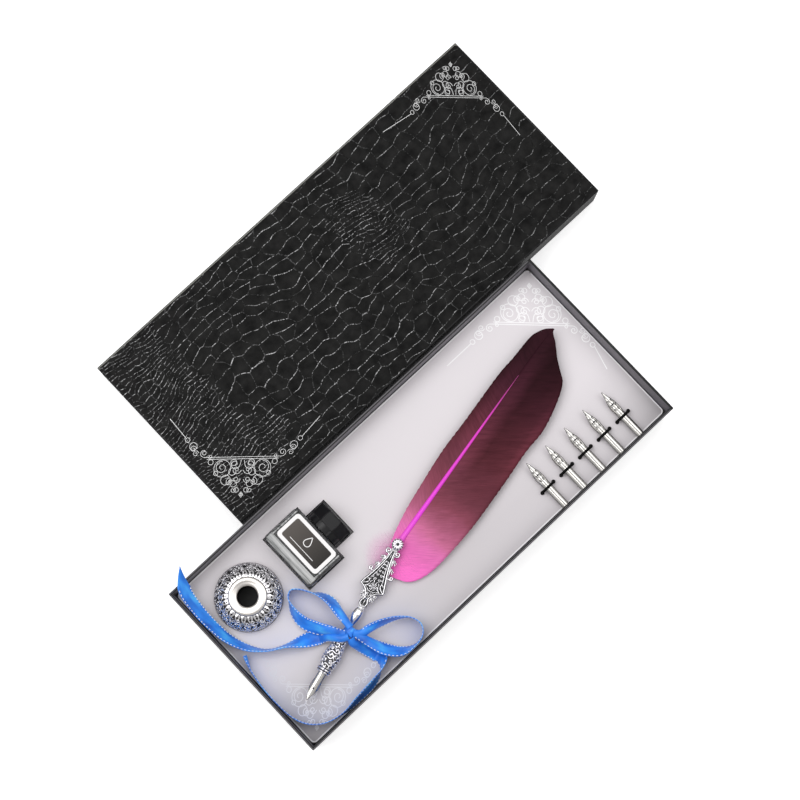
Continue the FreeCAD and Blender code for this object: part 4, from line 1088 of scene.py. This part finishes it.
def spiral(x, y, radius, start, turns, steps=22):
    """A line that winds in on a centre from a start angle."""
    spots = []
    for t in shares(steps):
        spots.append(polar(x, y, radius * (1.0 - 0.78 * t), math.radians(start) - 2 * math.pi * turns * t))
    return spots


# The frame, along and across the pen: ribs with their thickness, hooked curls outside with their level
FRAME_RIBS = (
    (((78.1, 7.6), (80.4, 6.9), (83.0, 6.0), (87.0, 4.6), (91.5, 3.2), (97.0, 1.8), (104.0, 0.8)), 0.5),
    (((78.1, 7.6), (76.8, 4.6), (75.0, 2.7), (72.6, 1.6), (70.6, 1.2), (68.6, 2.1), (66.8, 1.9),
     (65.6, 0.5)), 0.46),
    (((78.1, 7.6), (79.6, 5.2), (81.2, 3.9), (82.6, 4.4), (82.0, 5.6)), 0.36),
    (((77.2, 5.6), (78.8, 3.6), (80.6, 2.6)), 0.3),
    (((83.6, 4.2), (87.0, 3.0), (91.0, 2.0), (97.0, 0.8)), 0.3),
)
FRAME_HOOKS = (
    (smooth_line([(88.6, 4.2), (87.6, 5.4), (88.4, 6.6)], 5) + spiral(88.9, 6.9, 1.3, 200, 1.2), 0.4, -0.3),
    (smooth_line([(100.6, 1.4), (101.8, 2.4)], 4) + spiral(103.3, 3.0, 1.7, 200, 1.3), 0.42, -0.2),
)

# Curls of the vine with their reach and start, leaves with their reach and turn, fronds with their growth
VINE_CURLS = (
    (74.4, 1.0, 0.75, 200), (84.2, 1.3, 1.0, 180), (84.9, 3.2, 0.7, 160), (87.2, 1.0, 0.85, 180),
    (87.6, 2.5, 0.55, 160), (89.8, 0.8, 0.7, 180), (92.2, 0.65, 0.55, 180), (94.4, 0.5, 0.45, 180),
    (96.6, 0.4, 0.35, 180),
)
FRAME_LEAVES = (
    (76.4, 2.2, 1.7, 35), (76.0, 0.8, 1.5, 70), (77.6, 4.0, 1.6, 60), (78.6, 3.2, 1.5, 100),
    (80.0, 4.6, 1.4, 130),
    (81.8, 2.6, 1.6, 150), (82.4, 0.9, 1.6, 20), (82.6, 4.0, 1.4, 170), (73.0, 0.5, 1.2, 10),
    (71.6, 0.5, 1.0, 40),
)
FRONDS = (
    (92.4, 3.0, 1.0, (30, 58, 84, 112)), (97.8, 1.9, 1.0, (30, 58, 84, 112)),
    (72.2, 1.9, 0.8, (60, 95, 130)), (74.6, 3.0, 0.6, (60, 95, 130)),
)

# The rose in the frame: its place, then its rounds of petals with their reach, count and lift
ROSE_ALONG = 79.2
ROSE_ROUNDS = ((2.1, 6, 0.1), (1.35, 5, 0.3), (0.65, 3, 0.5))
FRAME_FLOOR = (
    (66.6, 1.0), (68.4, 1.8), (70.4, 1.0), (74.6, 2.2), (76.6, 3.8), (78.4, 6.6), (83.0, 5.6), (91.5, 2.9),
    (97.0, 1.4), (104.0, 0.5),
)
FLOOR_LOW = 0.9
FLOOR_PROUD = 0.05
FRAME_SPINES = (((66.8, 0.0), (71.4, 0.0), 0.4, 0.26), ((98.0, 0.0), (103.0, 0.0), 0.26, 0.1))
RELIEF_UP = 0.15
RECESS_UNDER = 0.3
RIB_DARK = 0.26
THIN_DARK = 0.16
VINE_LINE = 0.24
VINE_LIFT = 0.15
LEAF_LINE = 0.3
LEAF_LIFT = 0.1
ROSE_DARK = 0.12
FROND_LINE = 0.34
FROND_LIFT = -0.25
FROND_DARK = 0.14
FROND_LONG = 3.6
FROND_SHORT = 2.7


def frame_relief():
    """Ribs along the frame's edges, hooked corners, curls and fronds outside, a vine and a rose inside."""
    shell = Shell()
    recess = Shell()
    level = FRAME_TOP + RELIEF_UP

    def line(path, radius, lift=0.0, taper=0.2, sides=(1, -1), dark=RIB_DARK):
        for side in sides:
            spots = [Vector((x, side * y, level + lift)) for x, y in path]
            shell.tube(spots, radius, 6, taper)
            recess.tube([spot - Vector((0, 0, RECESS_UNDER)) for spot in spots], radius + dark, 6, taper)

    for path, radius in FRAME_RIBS:
        line(smooth_line(path), radius)
    for start, end, radius, dark in FRAME_SPINES:
        line([start, end], radius, sides=(1,), dark=dark)
    for x, y, reach, start in VINE_CURLS:
        line(spiral(x, y, reach, start, 1.2), VINE_LINE, VINE_LIFT, 0.3, dark=THIN_DARK)
    for x, y, reach, degrees in FRAME_LEAVES:
        angle = math.radians(degrees)
        leaf = [polar(x, y, reach * t, angle + 0.4 * t) for t in (-0.6, -0.3, 0, 0.3, 0.6)]
        line(leaf, LEAF_LINE, LEAF_LIFT, 0.7, dark=THIN_DARK)
    for reach, petals, lift in ROSE_ROUNDS:
        for petal in range(petals):
            middle = 2 * math.pi * (petal + 0.3 * reach) / petals
            spread = 0.8 * math.pi / petals
            arc = [polar(ROSE_ALONG, 0.0, reach, middle + spread * k) for k in (-1, -0.5, 0, 0.5, 1)]
            line(arc, LEAF_LINE, lift, 0.3, sides=(1,), dark=ROSE_DARK)
    for path, radius, lift in FRAME_HOOKS:
        line(path, radius, lift, dark=THIN_DARK)
    for x, y, grow, headings in FRONDS:
        for heading in headings:
            reach = grow * (FROND_LONG if 40 < heading < 100 else FROND_SHORT)
            angle = math.radians(heading)
            bow = [polar(x, y, reach * t, angle + 0.5 * t * t) for t in (0.0, 0.3, 0.6, 0.85, 1.0)]
            line(bow, FROND_LINE, FROND_LIFT, 0.5, dark=FROND_DARK)
    piece("frame_scrolls", shell, SILVER, "pen", PEN_PLACE)
    piece("frame_recess", recess, SHADOW, "pen", PEN_PLACE)


def frame_shadow():
    """The blackened floor of the frame's relief, on the plate between its ribs."""
    outline = [*FRAME_FLOOR, *((x, -y) for x, y in reversed(FRAME_FLOOR))]
    top = FRAME_TOP + FLOOR_PROUD
    flat_panel("frame_floor", outline, FLOOR_LOW, top, SHADOW, "pen", PEN_PLACE)


PETALS = 12
PETAL_BASE = FRAME_TOP + 0.35
PETAL_THICK = 0.78
PETAL_ARCH = 1.0
PETAL_LIFT = 0.25
FLOWER_BEAD = 0.34
FLOWER_BEAD_UP = 0.75


def flower_petals():
    """Slim petals round a dark middle with a small bead."""
    shell = Shell()
    for angle in angles(PETALS):
        path = []
        for t in (0.30, 0.45, 0.62, 0.80, 0.95, 1.03):
            lift = PETAL_ARCH * math.sin(math.pi * min(t, 1.0)) + PETAL_LIFT
            path.append((*polar(0.0, 0.0, t * FLOWER_RADIUS, angle), PETAL_BASE + lift))
        shell.tube(path, PETAL_THICK, 6, 0.45)
    shell.ball((0, 0, PETAL_BASE + FLOWER_BEAD_UP), FLOWER_BEAD)
    piece("flower_petals", shell, SILVER, "pen", Matrix.Translation(FLOWER))


# Nibs: their edge from point to shoulder, shank and vent as shares, then the embossed curls and cross lines
NIB_EDGE_SHARES = ((0.02, 0.05), (0.10, 0.28), (0.28, 0.86), (0.36, 0.98), (0.44, 0.90), (0.50, 0.80))
NIB_SHANK_SHARE = 0.80
NIB_VENT_SHARE = 0.30
VENT_RADIUS = 0.66
VENT_SUNK = 0.5
SLIT_START = 1.2
NIB_EDGE_LINE = 0.17
SLIT_LINE = 0.16
NIB_RIM_LINE = 0.2
NIB_CURLS = ((8.2, 0.7), (11.6, 0.85), (14.8, 0.75))
CURL_ASIDE = 0.35
CURL_DARK = 0.24
CURL_BRIGHT = 0.15
CURL_LIFT = 0.1
BRIGHT_SHIFT = (0.35, 0.2)
NIB_LIFT = 0.02
CROSS_LINES = ((18.3, 0.2), (20.2, 0.14))
CROSS_HALF = 2.2


def nib_lines(shell, dark, long, radius, shank, leaf):
    """The edges and middle of a nib, as lines on its rolled face; a leaf is embossed where it has one."""

    def on_nib(path, lift=NIB_LIFT):
        spots = []
        for along, aside in path:
            aside = max(min(aside, radius * 0.985), -radius * 0.985)
            spots.append(Vector((along, aside, math.sqrt(radius**2 - aside**2) + lift)))
        return spots

    for side in (1, -1):
        edge = [(long * along, side * out * radius * 0.96) for along, out in NIB_EDGE_SHARES]
        edge.append((shank, side * NIB_SHANK_SHARE * radius * 0.96))
        dark.tube(on_nib(edge), NIB_EDGE_LINE, 5, 0.3)
    vent = NIB_VENT_SHARE * long
    dark.tube(on_nib([(vent + SLIT_START, 0), (shank, 0)]), SLIT_LINE, 5, 0.3)
    disc = on_nib([(vent + VENT_RADIUS * x, VENT_RADIUS * y) for x, y in circle(16)], -VENT_SUNK)
    first = dark.rows([disc])
    dark.faces.append(tuple(range(first, first + len(disc))))
    if leaf:
        for side in (1, -1):
            rim = [(long * along, side * out * radius * 0.72) for along, out in NIB_EDGE_SHARES[1:]]
            shell.tube(on_nib(rim), NIB_RIM_LINE, 5, 0.4)
            for along, reach in NIB_CURLS:
                # each embossed curl is a dark line with a raised bright copy beside it; the dark line is
                # painted shade of the embossing
                path = curl(along, side * CURL_ASIDE, side * 42, reach, 1.1, side)
                dark.tube(on_nib(path), CURL_DARK, 5, 0.5)
                path = [(x + BRIGHT_SHIFT[0], y + side * BRIGHT_SHIFT[1]) for x, y in path]
                shell.tube(on_nib(path, CURL_LIFT), CURL_BRIGHT, 5, 0.5)
        for along, thick in CROSS_LINES:
            shell.tube(on_nib([(along, CROSS_HALF * (step / 6 - 1)) for step in range(13)]), thick, 5, 0.3)


def writing_nib():
    shell = Shell()
    nib_lines(shell, shell, NIB_LONG, NIB_RADIUS, GRIP_START, False)
    piece("nib_grooves", shell, TARNISH, "writing_nib", PEN_PLACE)


grip_relief()
frame_relief()
frame_shadow()
flower_petals()
writing_nib()

# Feather: cambered vanes with streaked barbs, a tapered shaft, and down at its root
# Each row: along the shaft from the flower, out from the shaft
RIGHT_EDGE = (
    (-18.0, 3.0), (-17.7, 8.5), (-16.6, 13.5), (-14.8, 18.0), (-10.0, 22.4), (-0.5, 26.4), (13.8, 28.8),
    (37.0, 31.0), (68.8, 31.3), (91.8, 30.9), (108.7, 32.0), (127.0, 29.1), (139.5, 24.9), (145.0, 19.2),
    (150.0, 13.6), (154.0, 10.0), (158.0, 6.4), (161.0, 2.9), (164.0, 0.6),
)
LEFT_EDGE = (
    (-13.0, 0.3), (-6.0, 2.6), (4.4, 5.6), (20.0, 8.2), (34.0, 9.4), (62.0, 11.1), (85.0, 10.6),
    (120.0, 10.3),
    (134.0, 9.0), (145.0, 8.4), (150.0, 8.0), (154.0, 7.2), (158.0, 5.2), (161.0, 3.2), (164.0, -0.6),
)
DOWN_LOW = -2.75
LEFT_PALER = 0.075
VANE_FALL = 0.9
VANE_RUFFLE = 0.16
VANE_WAVE = 0.25
VANE_LIFT = 0.35
VANE_THICK = 0.3
SHAFT_FROM = 0.6
ROOT_RISE = 0.7
RIGHT_DROOP = 0.4
LEFT_DROOP = 4.0


def vane(name, node, outline, hand, steps, crowd, droop, across=14):
    """One vane from the shaft to its edge; hand is 1 on the left, droop adds to its fall towards the tip."""
    shell = Shell()
    edge = smooth_line(outline, 10)
    start = outline[0][0]
    rows = []
    for step in range(steps + 1):
        along = start + (VANE_LONG - start) * (step / steps) ** crowd
        share = along / VANE_LONG
        width = share_at(edge, along)
        width += VANE_RUFFLE * math.sin(along * 1.7) * math.sin(along * 0.23) * min(1.0, 4.0 * (1.0 - share))
        tip_drop = -0.05 * VANE_RIGHT * max(0.0, (share - 0.9) / 0.1) ** 2
        root = min(max((along + 5.0) / 14.0, 0.0), 1.0)
        root = root * root * (3.0 - 2.0 * root)
        bulge = max(1.0 - ((share - 0.40) / 0.28) ** 2, 0.2 if share < 0.4 else -0.6)
        pale = LEFT_PALER * bulge if hand > 0 else 0.0
        row = []
        for t in shares(across):
            aside = tip_drop * (1.0 - t) + hand * width * t
            fall = (VANE_FALL + droop * max(share, 0.0)) * (t * width / VANE_RIGHT) ** 2
            fall += VANE_WAVE * math.sin(along * 0.08 + 2.0 * t) * t
            low = DOWN_LOW + ROOT_RISE * t
            place = (share - pale - BARB_SLANT * t * width / VANE_LONG, t * width / VANE_RIGHT)
            row.append((Vector((along, aside, low + (VANE_LIFT - fall - low) * root)), place))
        rows.append(row)
    shell.rows(rows)
    piece(name, shell, VANE, "pen", FEATHER_PLACE, replaces=(node,), thick=VANE_THICK)


def shaft(steps=60, sides=14):
    shell = Shell()
    rows = []
    for share in shares(steps):
        along = SHAFT_FROM + SHAFT_LONG * share
        radius = SHAFT_TIP + (SHAFT_ROOT - SHAFT_TIP) * (1.0 - share) ** 1.35
        spots = [Vector((along, radius * y, radius * z)) for y, z in circle(sides)]
        rows.append([(spot, (share, k / sides)) for k, spot in enumerate(spots)])
    shell.rows(rows, closed=True)
    piece("quill_shaft", shell, shaft_magenta(), "pen", FEATHER_PLACE, replaces=("feather_shaft",))


# Down: where the veil starts and its length, how far it reaches out, and the strands
VEIL_FROM = -25.0
VEIL_LONG = 34.0
VEIL_INNER = -2.0
VEIL_LEAST = 4.0
VEIL_MORE = 15.0
VEIL_UP = 0.12
VEIL_RISE = 0.5
STRANDS = 140
STRAND_UP = 0.3
STRAND_RISE = 0.9
STRAND_THICK = 0.06


def down(spans=24, across=10):
    """A thin veil of down left of the frame, and loose strands all round the root."""
    veil = Shell()
    rows = []
    for share in shares(spans):
        along = VEIL_FROM + VEIL_LONG * share
        arch = max(math.sin(math.pi * share), 0.0) ** 0.6
        row = []
        for t in shares(across):
            aside = VEIL_INNER + (VEIL_LEAST + VEIL_MORE * arch) * t
            place = (along / VANE_LONG - 0.04 * t, arch * (1.0 - t) ** 1.2)
            row.append((Vector((along, aside, DOWN_LOW + VEIL_UP + VEIL_RISE * t)), place))
        rows.append(row)
    veil.rows(rows)
    piece("feather_veil", veil, VEIL, "pen", FEATHER_PLACE, replaces=("feather_down",))
    strands = Shell()
    for number in range(STRANDS):
        left = number % 4 != 0
        start = draw.uniform(-10.0, 6.0)
        heading = math.radians(draw.uniform(80.0, 170.0) if left else -draw.uniform(105.0, 165.0))
        reach = draw.uniform(4.0, 14.0) if left else draw.uniform(14.0, 26.0)
        bend = draw.uniform(-0.8, 0.8)
        path = []
        for t in shares(6):
            lift = DOWN_LOW + STRAND_UP + STRAND_RISE * t + draw.uniform(-0.1, 0.1)
            path.append((*polar(start, 0.0, reach * t, heading + bend * t), lift))
        strands.tube(path, STRAND_THICK, 4, 0.6)
    piece("feather_wisps", strands, WISP, "pen", FEATHER_PLACE)


vane("vane_right", "feather_vane_right", RIGHT_EDGE, -1, 200, 1.15, RIGHT_DROOP)
vane("vane_left", "feather_vane_left", LEFT_EDGE, 1, 170, 1.0, LEFT_DROOP)
shaft()
down()

# Ribbon: satin bands along the routes of the solids, stitched along both edges
# Each row: along X and Y from the knot, up from the card, lean from upright, share of the width spread
LEFT_LOOP_ROUTE = (
    (0.4, 1.8, 10.2, 20, 0.4), (0.9, 5.5, 9.9, 20, 0.5), (2.6, 11.7, 9.1, 36, 0.85), (4.0, 21.1, 7.5, 34, 1),
    (2.0, 28.5, 6.3, 18, 1), (-1.6, 34.0, 5.9, 0, 1), (-4.8, 39.3, 5.7, 0, 1), (-9.2, 42.7, 5.6, 0, 1),
    (-13.8, 39.7, 5.6, 0, 1), (-16.8, 31.6, 5.8, 26, 1), (-16.6, 23.1, 6.9, 44, 1), (-12.8, 14.7, 8.3, 48, 1),
    (-7.6, 9.1, 9.5, 34, 0.75), (-4.2, 5.1, 9.9, 20, 0.5), (-2.0, 1.6, 10.2, 20, 0.4),
)
RIGHT_LOOP_ROUTE = (
    (1.6, -1.4, 10.2, 30, 0.4), (4.6, -4.5, 9.9, 30, 0.5), (10.0, -6.3, 8.9, 30, 0.85),
    (18.0, -9.3, 7.5, 22, 1),
    (26.5, -13.5, 6.3, 10, 1), (32.8, -19.2, 5.7, 0, 1), (34.4, -26.2, 5.6, 0, 1), (30.4, -31.5, 5.6, 0, 1),
    (22.5, -32.7, 5.7, 8, 1), (14.0, -29.3, 6.3, 36, 1), (7.8, -21.3, 7.5, 46, 1), (3.8, -12.3, 8.9, 42, 0.8),
    (1.4, -6.3, 9.7, 30, 0.5), (0.4, -2.4, 10.2, 30, 0.4),
)
LEFT_TAIL_ROUTE = (
    (-2.6, -1.6, 10.2, 82, 0.36), (-6.5, 0.4, 9.7, 82, 0.36), (-9.0, 3.7, 8.1, 78, 0.5),
    (-11.6, 7.3, 3.9, 80, 0.65),
    (-15.8, 10.9, 2.2, 84, 1), (-23.0, 14.5, 3.3, 58, 1), (-33.5, 20.1, 5.4, 14, 1), (-44.0, 26.1, 5.5, 8, 1),
    (-52.0, 36.0, 5.9, 24, 1), (-56.4, 47.8, 7.3, 34, 1), (-57.8, 60.1, 10.0, 40, 1),
    (-57.6, 72.0, 14.0, 44, 1),
    (-56.0, 83.0, 18.2, 46, 1), (-52.4, 91.0, 20.3, 44, 1), (-47.8, 98.0, 20.2, 40, 1),
)
RIGHT_TAIL_ROUTE = (
    (-1.4, -2.6, 9.4, 66, 0.4), (-2.9, -5.9, 7.5, 70, 0.45), (-1.4, -10.1, 4.3, 80, 0.7),
    (1.2, -15.5, 2.1, 86, 0.9),
    (3.2, -21.3, 1.3, 88, 1), (2.2, -25.6, 4.4, 38, 1), (-3.0, -30.0, 5.4, -4, 1),
    (-12.0, -32.3, 5.1, -24, 1),
    (-24.0, -32.9, 5.2, -20, 1), (-36.5, -32.9, 5.6, -6, 1), (-48.0, -29.5, 5.7, 0, 1),
    (-56.2, -22.5, 5.7, 0, 1),
    (-60.4, -12.5, 5.7, 0, 1), (-61.4, 0.1, 5.7, 0, 1), (-61.0, 13.1, 5.7, 0, 1), (-59.2, 24.6, 5.7, 0, 1),
    (-56.8, 33.1, 5.7, 0, 0.9),
)
LEFT_TAIL_CUT = 13.0
RIBBON_SPOTS = 20
STITCH_FROM = 6.0
STITCH_SHORT = 1.5
STITCH_LONG = 1.1
STITCH_PITCH = 2.2
STITCH_THICK = 0.34
STITCH_LIFT = RIBBON_THICK / 2 + 0.03


def bowed(spread):
    """Places across a ribbon drawn in to a share of its width: an arc of the full width, as (across, out)."""
    spread = min(max(spread, 0.12), 0.999)
    low, high = 0.01, math.pi
    for _ in range(40):
        middle = (low + high) / 2
        if math.sin(middle) / middle > spread:
            low = middle
        else:
            high = middle
    radius = RIBBON_WIDE / (2 * low)
    bends = [low * (2 * step / RIBBON_SPOTS - 1) for step in range(RIBBON_SPOTS + 1)]
    return [(radius * math.sin(bend), radius * (math.cos(bend) - math.cos(low))) for bend in bends]


def stitched(rows, outs, lengths, end):
    """Short stitches on both faces along both edges of a ribbon."""
    shell = Shell()
    for spot in (1, RIBBON_SPOTS - 1):
        distance = STITCH_FROM
        while distance < end:
            ends = []
            for place in (distance, distance + STITCH_LONG):
                index = max(k for k in range(len(rows) - 1) if lengths[k] <= place)
                t = (place - lengths[index]) / max(lengths[index + 1] - lengths[index], 1e-6)
                ends.append((rows[index][spot][0].lerp(rows[index + 1][spot][0], t), outs[index]))
            for side in (1, -1):
                path = [position + out * (side * STITCH_LIFT) for position, out in ends]
                shell.tube(path, STITCH_THICK, 5, up=ends[0][1], flat=0.4)
            distance += STITCH_PITCH
    return shell


def ribbon(name, route, cut=0.0):
    """One stretch of ribbon and its stitches; cut is the length of a pointed end."""
    line = smooth_line(route, 10)
    spots = [Vector((KNOT[0] + x, KNOT[1] + y, CARD_TOP + z)) for x, y, z, lean, spread in line]
    lengths = [0.0]
    for first, second in zip(spots, spots[1:]):
        lengths.append(lengths[-1] + (second - first).length)
    long = lengths[-1]
    rows = []
    outs = []
    for index, (x, y, z, lean, spread) in enumerate(line):
        ahead = way_along(spots, index)
        level = Vector((-ahead.y, ahead.x, 0)).normalized()
        tilt = math.radians(lean)
        across = level * math.sin(tilt) + Vector((0, 0, math.cos(tilt)))
        out = ahead.cross(across).normalized()
        kept = 1.0
        if cut and lengths[index] > long - cut:
            kept = max((long - lengths[index]) / cut, 0.03)
        row = []
        for side, rise in bowed(spread):
            place = (0.5 + side * kept / RIBBON_WIDE, lengths[index] / 100.0)
            row.append((spots[index] + across * (side * kept) + out * rise, place))
        rows.append(row)
        outs.append(out)
    shell = Shell()
    shell.rows(rows)
    stands_for = ("ribbon_" + name.split("_", 1)[1],)
    thing = piece(name, shell, SATIN, "pen", replaces=stands_for, thick=RIBBON_THICK)
    stitches = stitched(rows, outs, lengths, long - cut - STITCH_SHORT)
    sewn = piece(name + "_stitches", stitches, THREAD, "pen")


KNOT_HALF_LONG = 3.5
KNOT_HALF_WIDE = 3.9
KNOT_TALL = 4.8
KNOT_ROUNDS = 40
KNOT_UP = 0.1
KNOT_DIMPLE = 0.35
PLEAT = 0.16
BAND_SUNK = 0.25
BAND_TUCK = 0.5


def squared(value, power):
    return math.copysign(abs(value) ** power, value)


def knot():
    """A tight turn of ribbon over the waist of the pen, with folds drawn in, and turns round the waist."""
    shell = Shell()
    lift = Matrix.Translation((*KNOT, PEN_TIP[2] + BAND_RADIUS + KNOT_UP)) @ turn(PEN_TURN)
    rows = []
    for step in range(29):
        latitude = math.pi * step / 28
        row = []
        for spot, angle in enumerate(angles(KNOT_ROUNDS)):
            fold = 0.16 * abs(math.sin(2.0 * angle + 0.5)) + 0.05 * math.sin(7 * angle)
            swell = math.sin(latitude) * (0.86 + fold)
            x = KNOT_HALF_LONG * squared(math.cos(angle), 0.8) * swell
            y = KNOT_HALF_WIDE * squared(math.sin(angle), 0.8) * swell
            z = KNOT_TALL / 2 * squared(math.cos(latitude), 0.75)
            z -= KNOT_DIMPLE * math.cos(3.0 * x / KNOT_HALF_LONG) * math.sin(latitude)
            row.append((lift @ Vector((x, y, z + KNOT_TALL / 2)), (spot / KNOT_ROUNDS, step / 280)))
        rows.append(row)
    shell.rows(rows, closed=True)
    band = []
    for t in shares(14):
        row = []
        for spot, angle in enumerate(angles(KNOT_ROUNDS)):
            pleat = PLEAT * math.sin(9.0 * t * math.pi + 1.5 * math.sin(angle)) - BAND_TUCK * (2 * t - 1) ** 4
            radius = BAND_RADIUS - BAND_SUNK + pleat
            along = BAND_MIDDLE + BAND_WIDE * (t - 0.5) + BAND_TUCK * math.sin(angle)
            point = PEN_PLACE @ Vector((along, *polar(0.0, 0.0, radius, angle)))
            row.append((point, (t, spot / KNOT_ROUNDS * 0.16)))
        band.append(row)
    shell.rows(band, closed=True)
    piece("bow_knot", shell, SATIN, "pen", replaces=("ribbon_knot", "ribbon_band"))


ribbon("bow_loop_left", LEFT_LOOP_ROUTE)
ribbon("bow_loop_right", RIGHT_LOOP_ROUTE)
ribbon("bow_tail_left", LEFT_TAIL_ROUTE, LEFT_TAIL_CUT)
ribbon("bow_tail_right", RIGHT_TAIL_ROUTE)
knot()

# Spare nibs: leaf embossing on each, and an elastic loop over it, up through the card and down again
LOOP_FOOT = CARD_TOP - ELASTIC_DEEP
FOOT_STRAIGHT = 3.3
SIDE_UP = 1.0
CROWN_HALF = 1.42
CROWN_UP = 3.98
LOOP_SIDE = (
    (LOOP_SPAN / 2, LOOP_FOOT), (LOOP_SPAN / 2, LOOP_FOOT + FOOT_STRAIGHT),
    (LOOP_SPAN / 2, SPARE_AXIS + SIDE_UP), (CROWN_HALF, SPARE_AXIS + CROWN_UP),
)
CORD_SHARE = 1.1
LINE_SHORT = 0.2
KNOB_RADIUS = 1.3
KNOB_ASKEW = 0.25
KNOB_UP = 0.2


def elastic_loop(number, across):
    """A taut cord over one nib, with a knob where each end goes into the card."""
    spots = [(across + x, LOOP_Y, z) for x, z in LOOP_SIDE]
    spots += [(across - x, LOOP_Y, z) for x, z in reversed(LOOP_SIDE)]
    curve = bpy.data.curves.new(f"loop_cord_{number}", "CURVE")
    curve.dimensions = "3D"
    curve.bevel_depth = ELASTIC_ROUND / 2 * CORD_SHARE * MM
    curve.bevel_resolution = 4
    curve.resolution_u = 12
    spline = curve.splines.new("NURBS")
    spline.points.add(len(spots) - 1)
    for point, spot in zip(spline.points, spots):
        point.co = (*(Vector(spot) * MM), 1.0)
    spline.order_u = 3
    spline.use_endpoint_u = True
    curve.materials.append(ELASTIC)
    riding(f"loop_cord_{number}", curve, "box_base", (f"elastic_loop_{number}",))
    knobs = Shell()
    for side in (-1, 1):
        place = (across + side * LOOP_SPAN / 2, LOOP_Y + KNOB_ASKEW * side, CARD_TOP + KNOB_UP)
        knobs.ball(place, KNOB_RADIUS, 0.7)
    piece(f"loop_knobs_{number}", knobs, ELASTIC, "box_base")


def spare_nib(number):
    across = SPARE_FIRST + (number - 1) * SPARE_STEP
    place = Matrix.Translation((across, SPARE_TIP_Y, SPARE_AXIS)) @ turn(-90)
    leaf = Shell()
    grooves = Shell()
    nib_lines(leaf, grooves, SPARE_LONG, SPARE_RADIUS, SPARE_LONG - LINE_SHORT, True)
    piece(f"nib_leaf_{number}", leaf, STEEL, f"spare_{number}", place)
    piece(f"nib_grooves_{number}", grooves, TARNISH, f"spare_{number}", place)
    elastic_loop(number, across)


for number in SPARE_NUMBERS:
    spare_nib(number)

# Floor, light and camera, in metres. Each lamp: name, place, aim, size and power
FLOOR_HALF = 3.0
LAMPS = (
    ("key", (-0.60, 0.60, 1.60), (0.0, 0.05, 0.0), 1.3, 13.0),
    ("fill", (0.80, -0.35, 1.50), (0.05, 0.05, 0.0), 1.2, 8.0),
    ("top", (0.30, 0.80, 1.80), (0.05, 0.05, 0.0), 1.0, 6.0),
)
CAMERA_PLACE = (-0.098117, -0.047685, 1.245118)
CAMERA_TURNS = (-7.70733, 1.17069, 43.28679)
CAMERA_LENS = 90.0
CAMERA_FILM = 36.0
CAMERA_NEAR = 0.01


def stage():
    mesh = bpy.data.meshes.new("floor")
    corners = [(x * FLOOR_HALF, y * FLOOR_HALF, 0) for x, y in ((-1, -1), (1, -1), (1, 1), (-1, 1))]
    mesh.from_pydata(corners, [], [(0, 1, 2, 3)])
    mesh.materials.append(
        plain("floor_white", (0.93, 0.93, 0.935), 0.8, grain=60.0, bump=0.02, mottle=0.01, glow=0.45)
    )
    floor = bpy.data.objects.new("floor", mesh)
    scene.collection.objects.link(floor)
    world = bpy.data.worlds.new("studio")
    scene.world = world
    world.use_nodes = True
    background = world.node_tree.nodes["Background"]
    background.inputs["Color"].default_value = (1.0, 0.99, 0.985, 1.0)
    background.inputs["Strength"].default_value = 0.52
    for name, place, aim, size, power in LAMPS:
        lamp = bpy.data.lights.new(name, "AREA")
        lamp.size = size
        lamp.energy = power
        thing = bpy.data.objects.new(name, lamp)
        thing.location = place
        thing.rotation_euler = (Vector(aim) - Vector(place)).to_track_quat("-Z", "Y").to_euler()
        scene.collection.objects.link(thing)
    scene.view_settings.view_transform = "Standard"


def camera():
    tilt, roll, yaw = (turn(degrees, axis, 3) for degrees, axis in zip(CAMERA_TURNS, "XYZ"))
    data = bpy.data.cameras.new("camera")
    data.lens = CAMERA_LENS
    data.sensor_width = CAMERA_FILM
    data.clip_start = CAMERA_NEAR
    thing = bpy.data.objects.new("camera", data)
    thing.matrix_world = Matrix.Translation(CAMERA_PLACE) @ (tilt @ roll @ yaw).transposed().to_4x4()
    scene.collection.objects.link(thing)
    scene.camera = thing


stage()
camera()
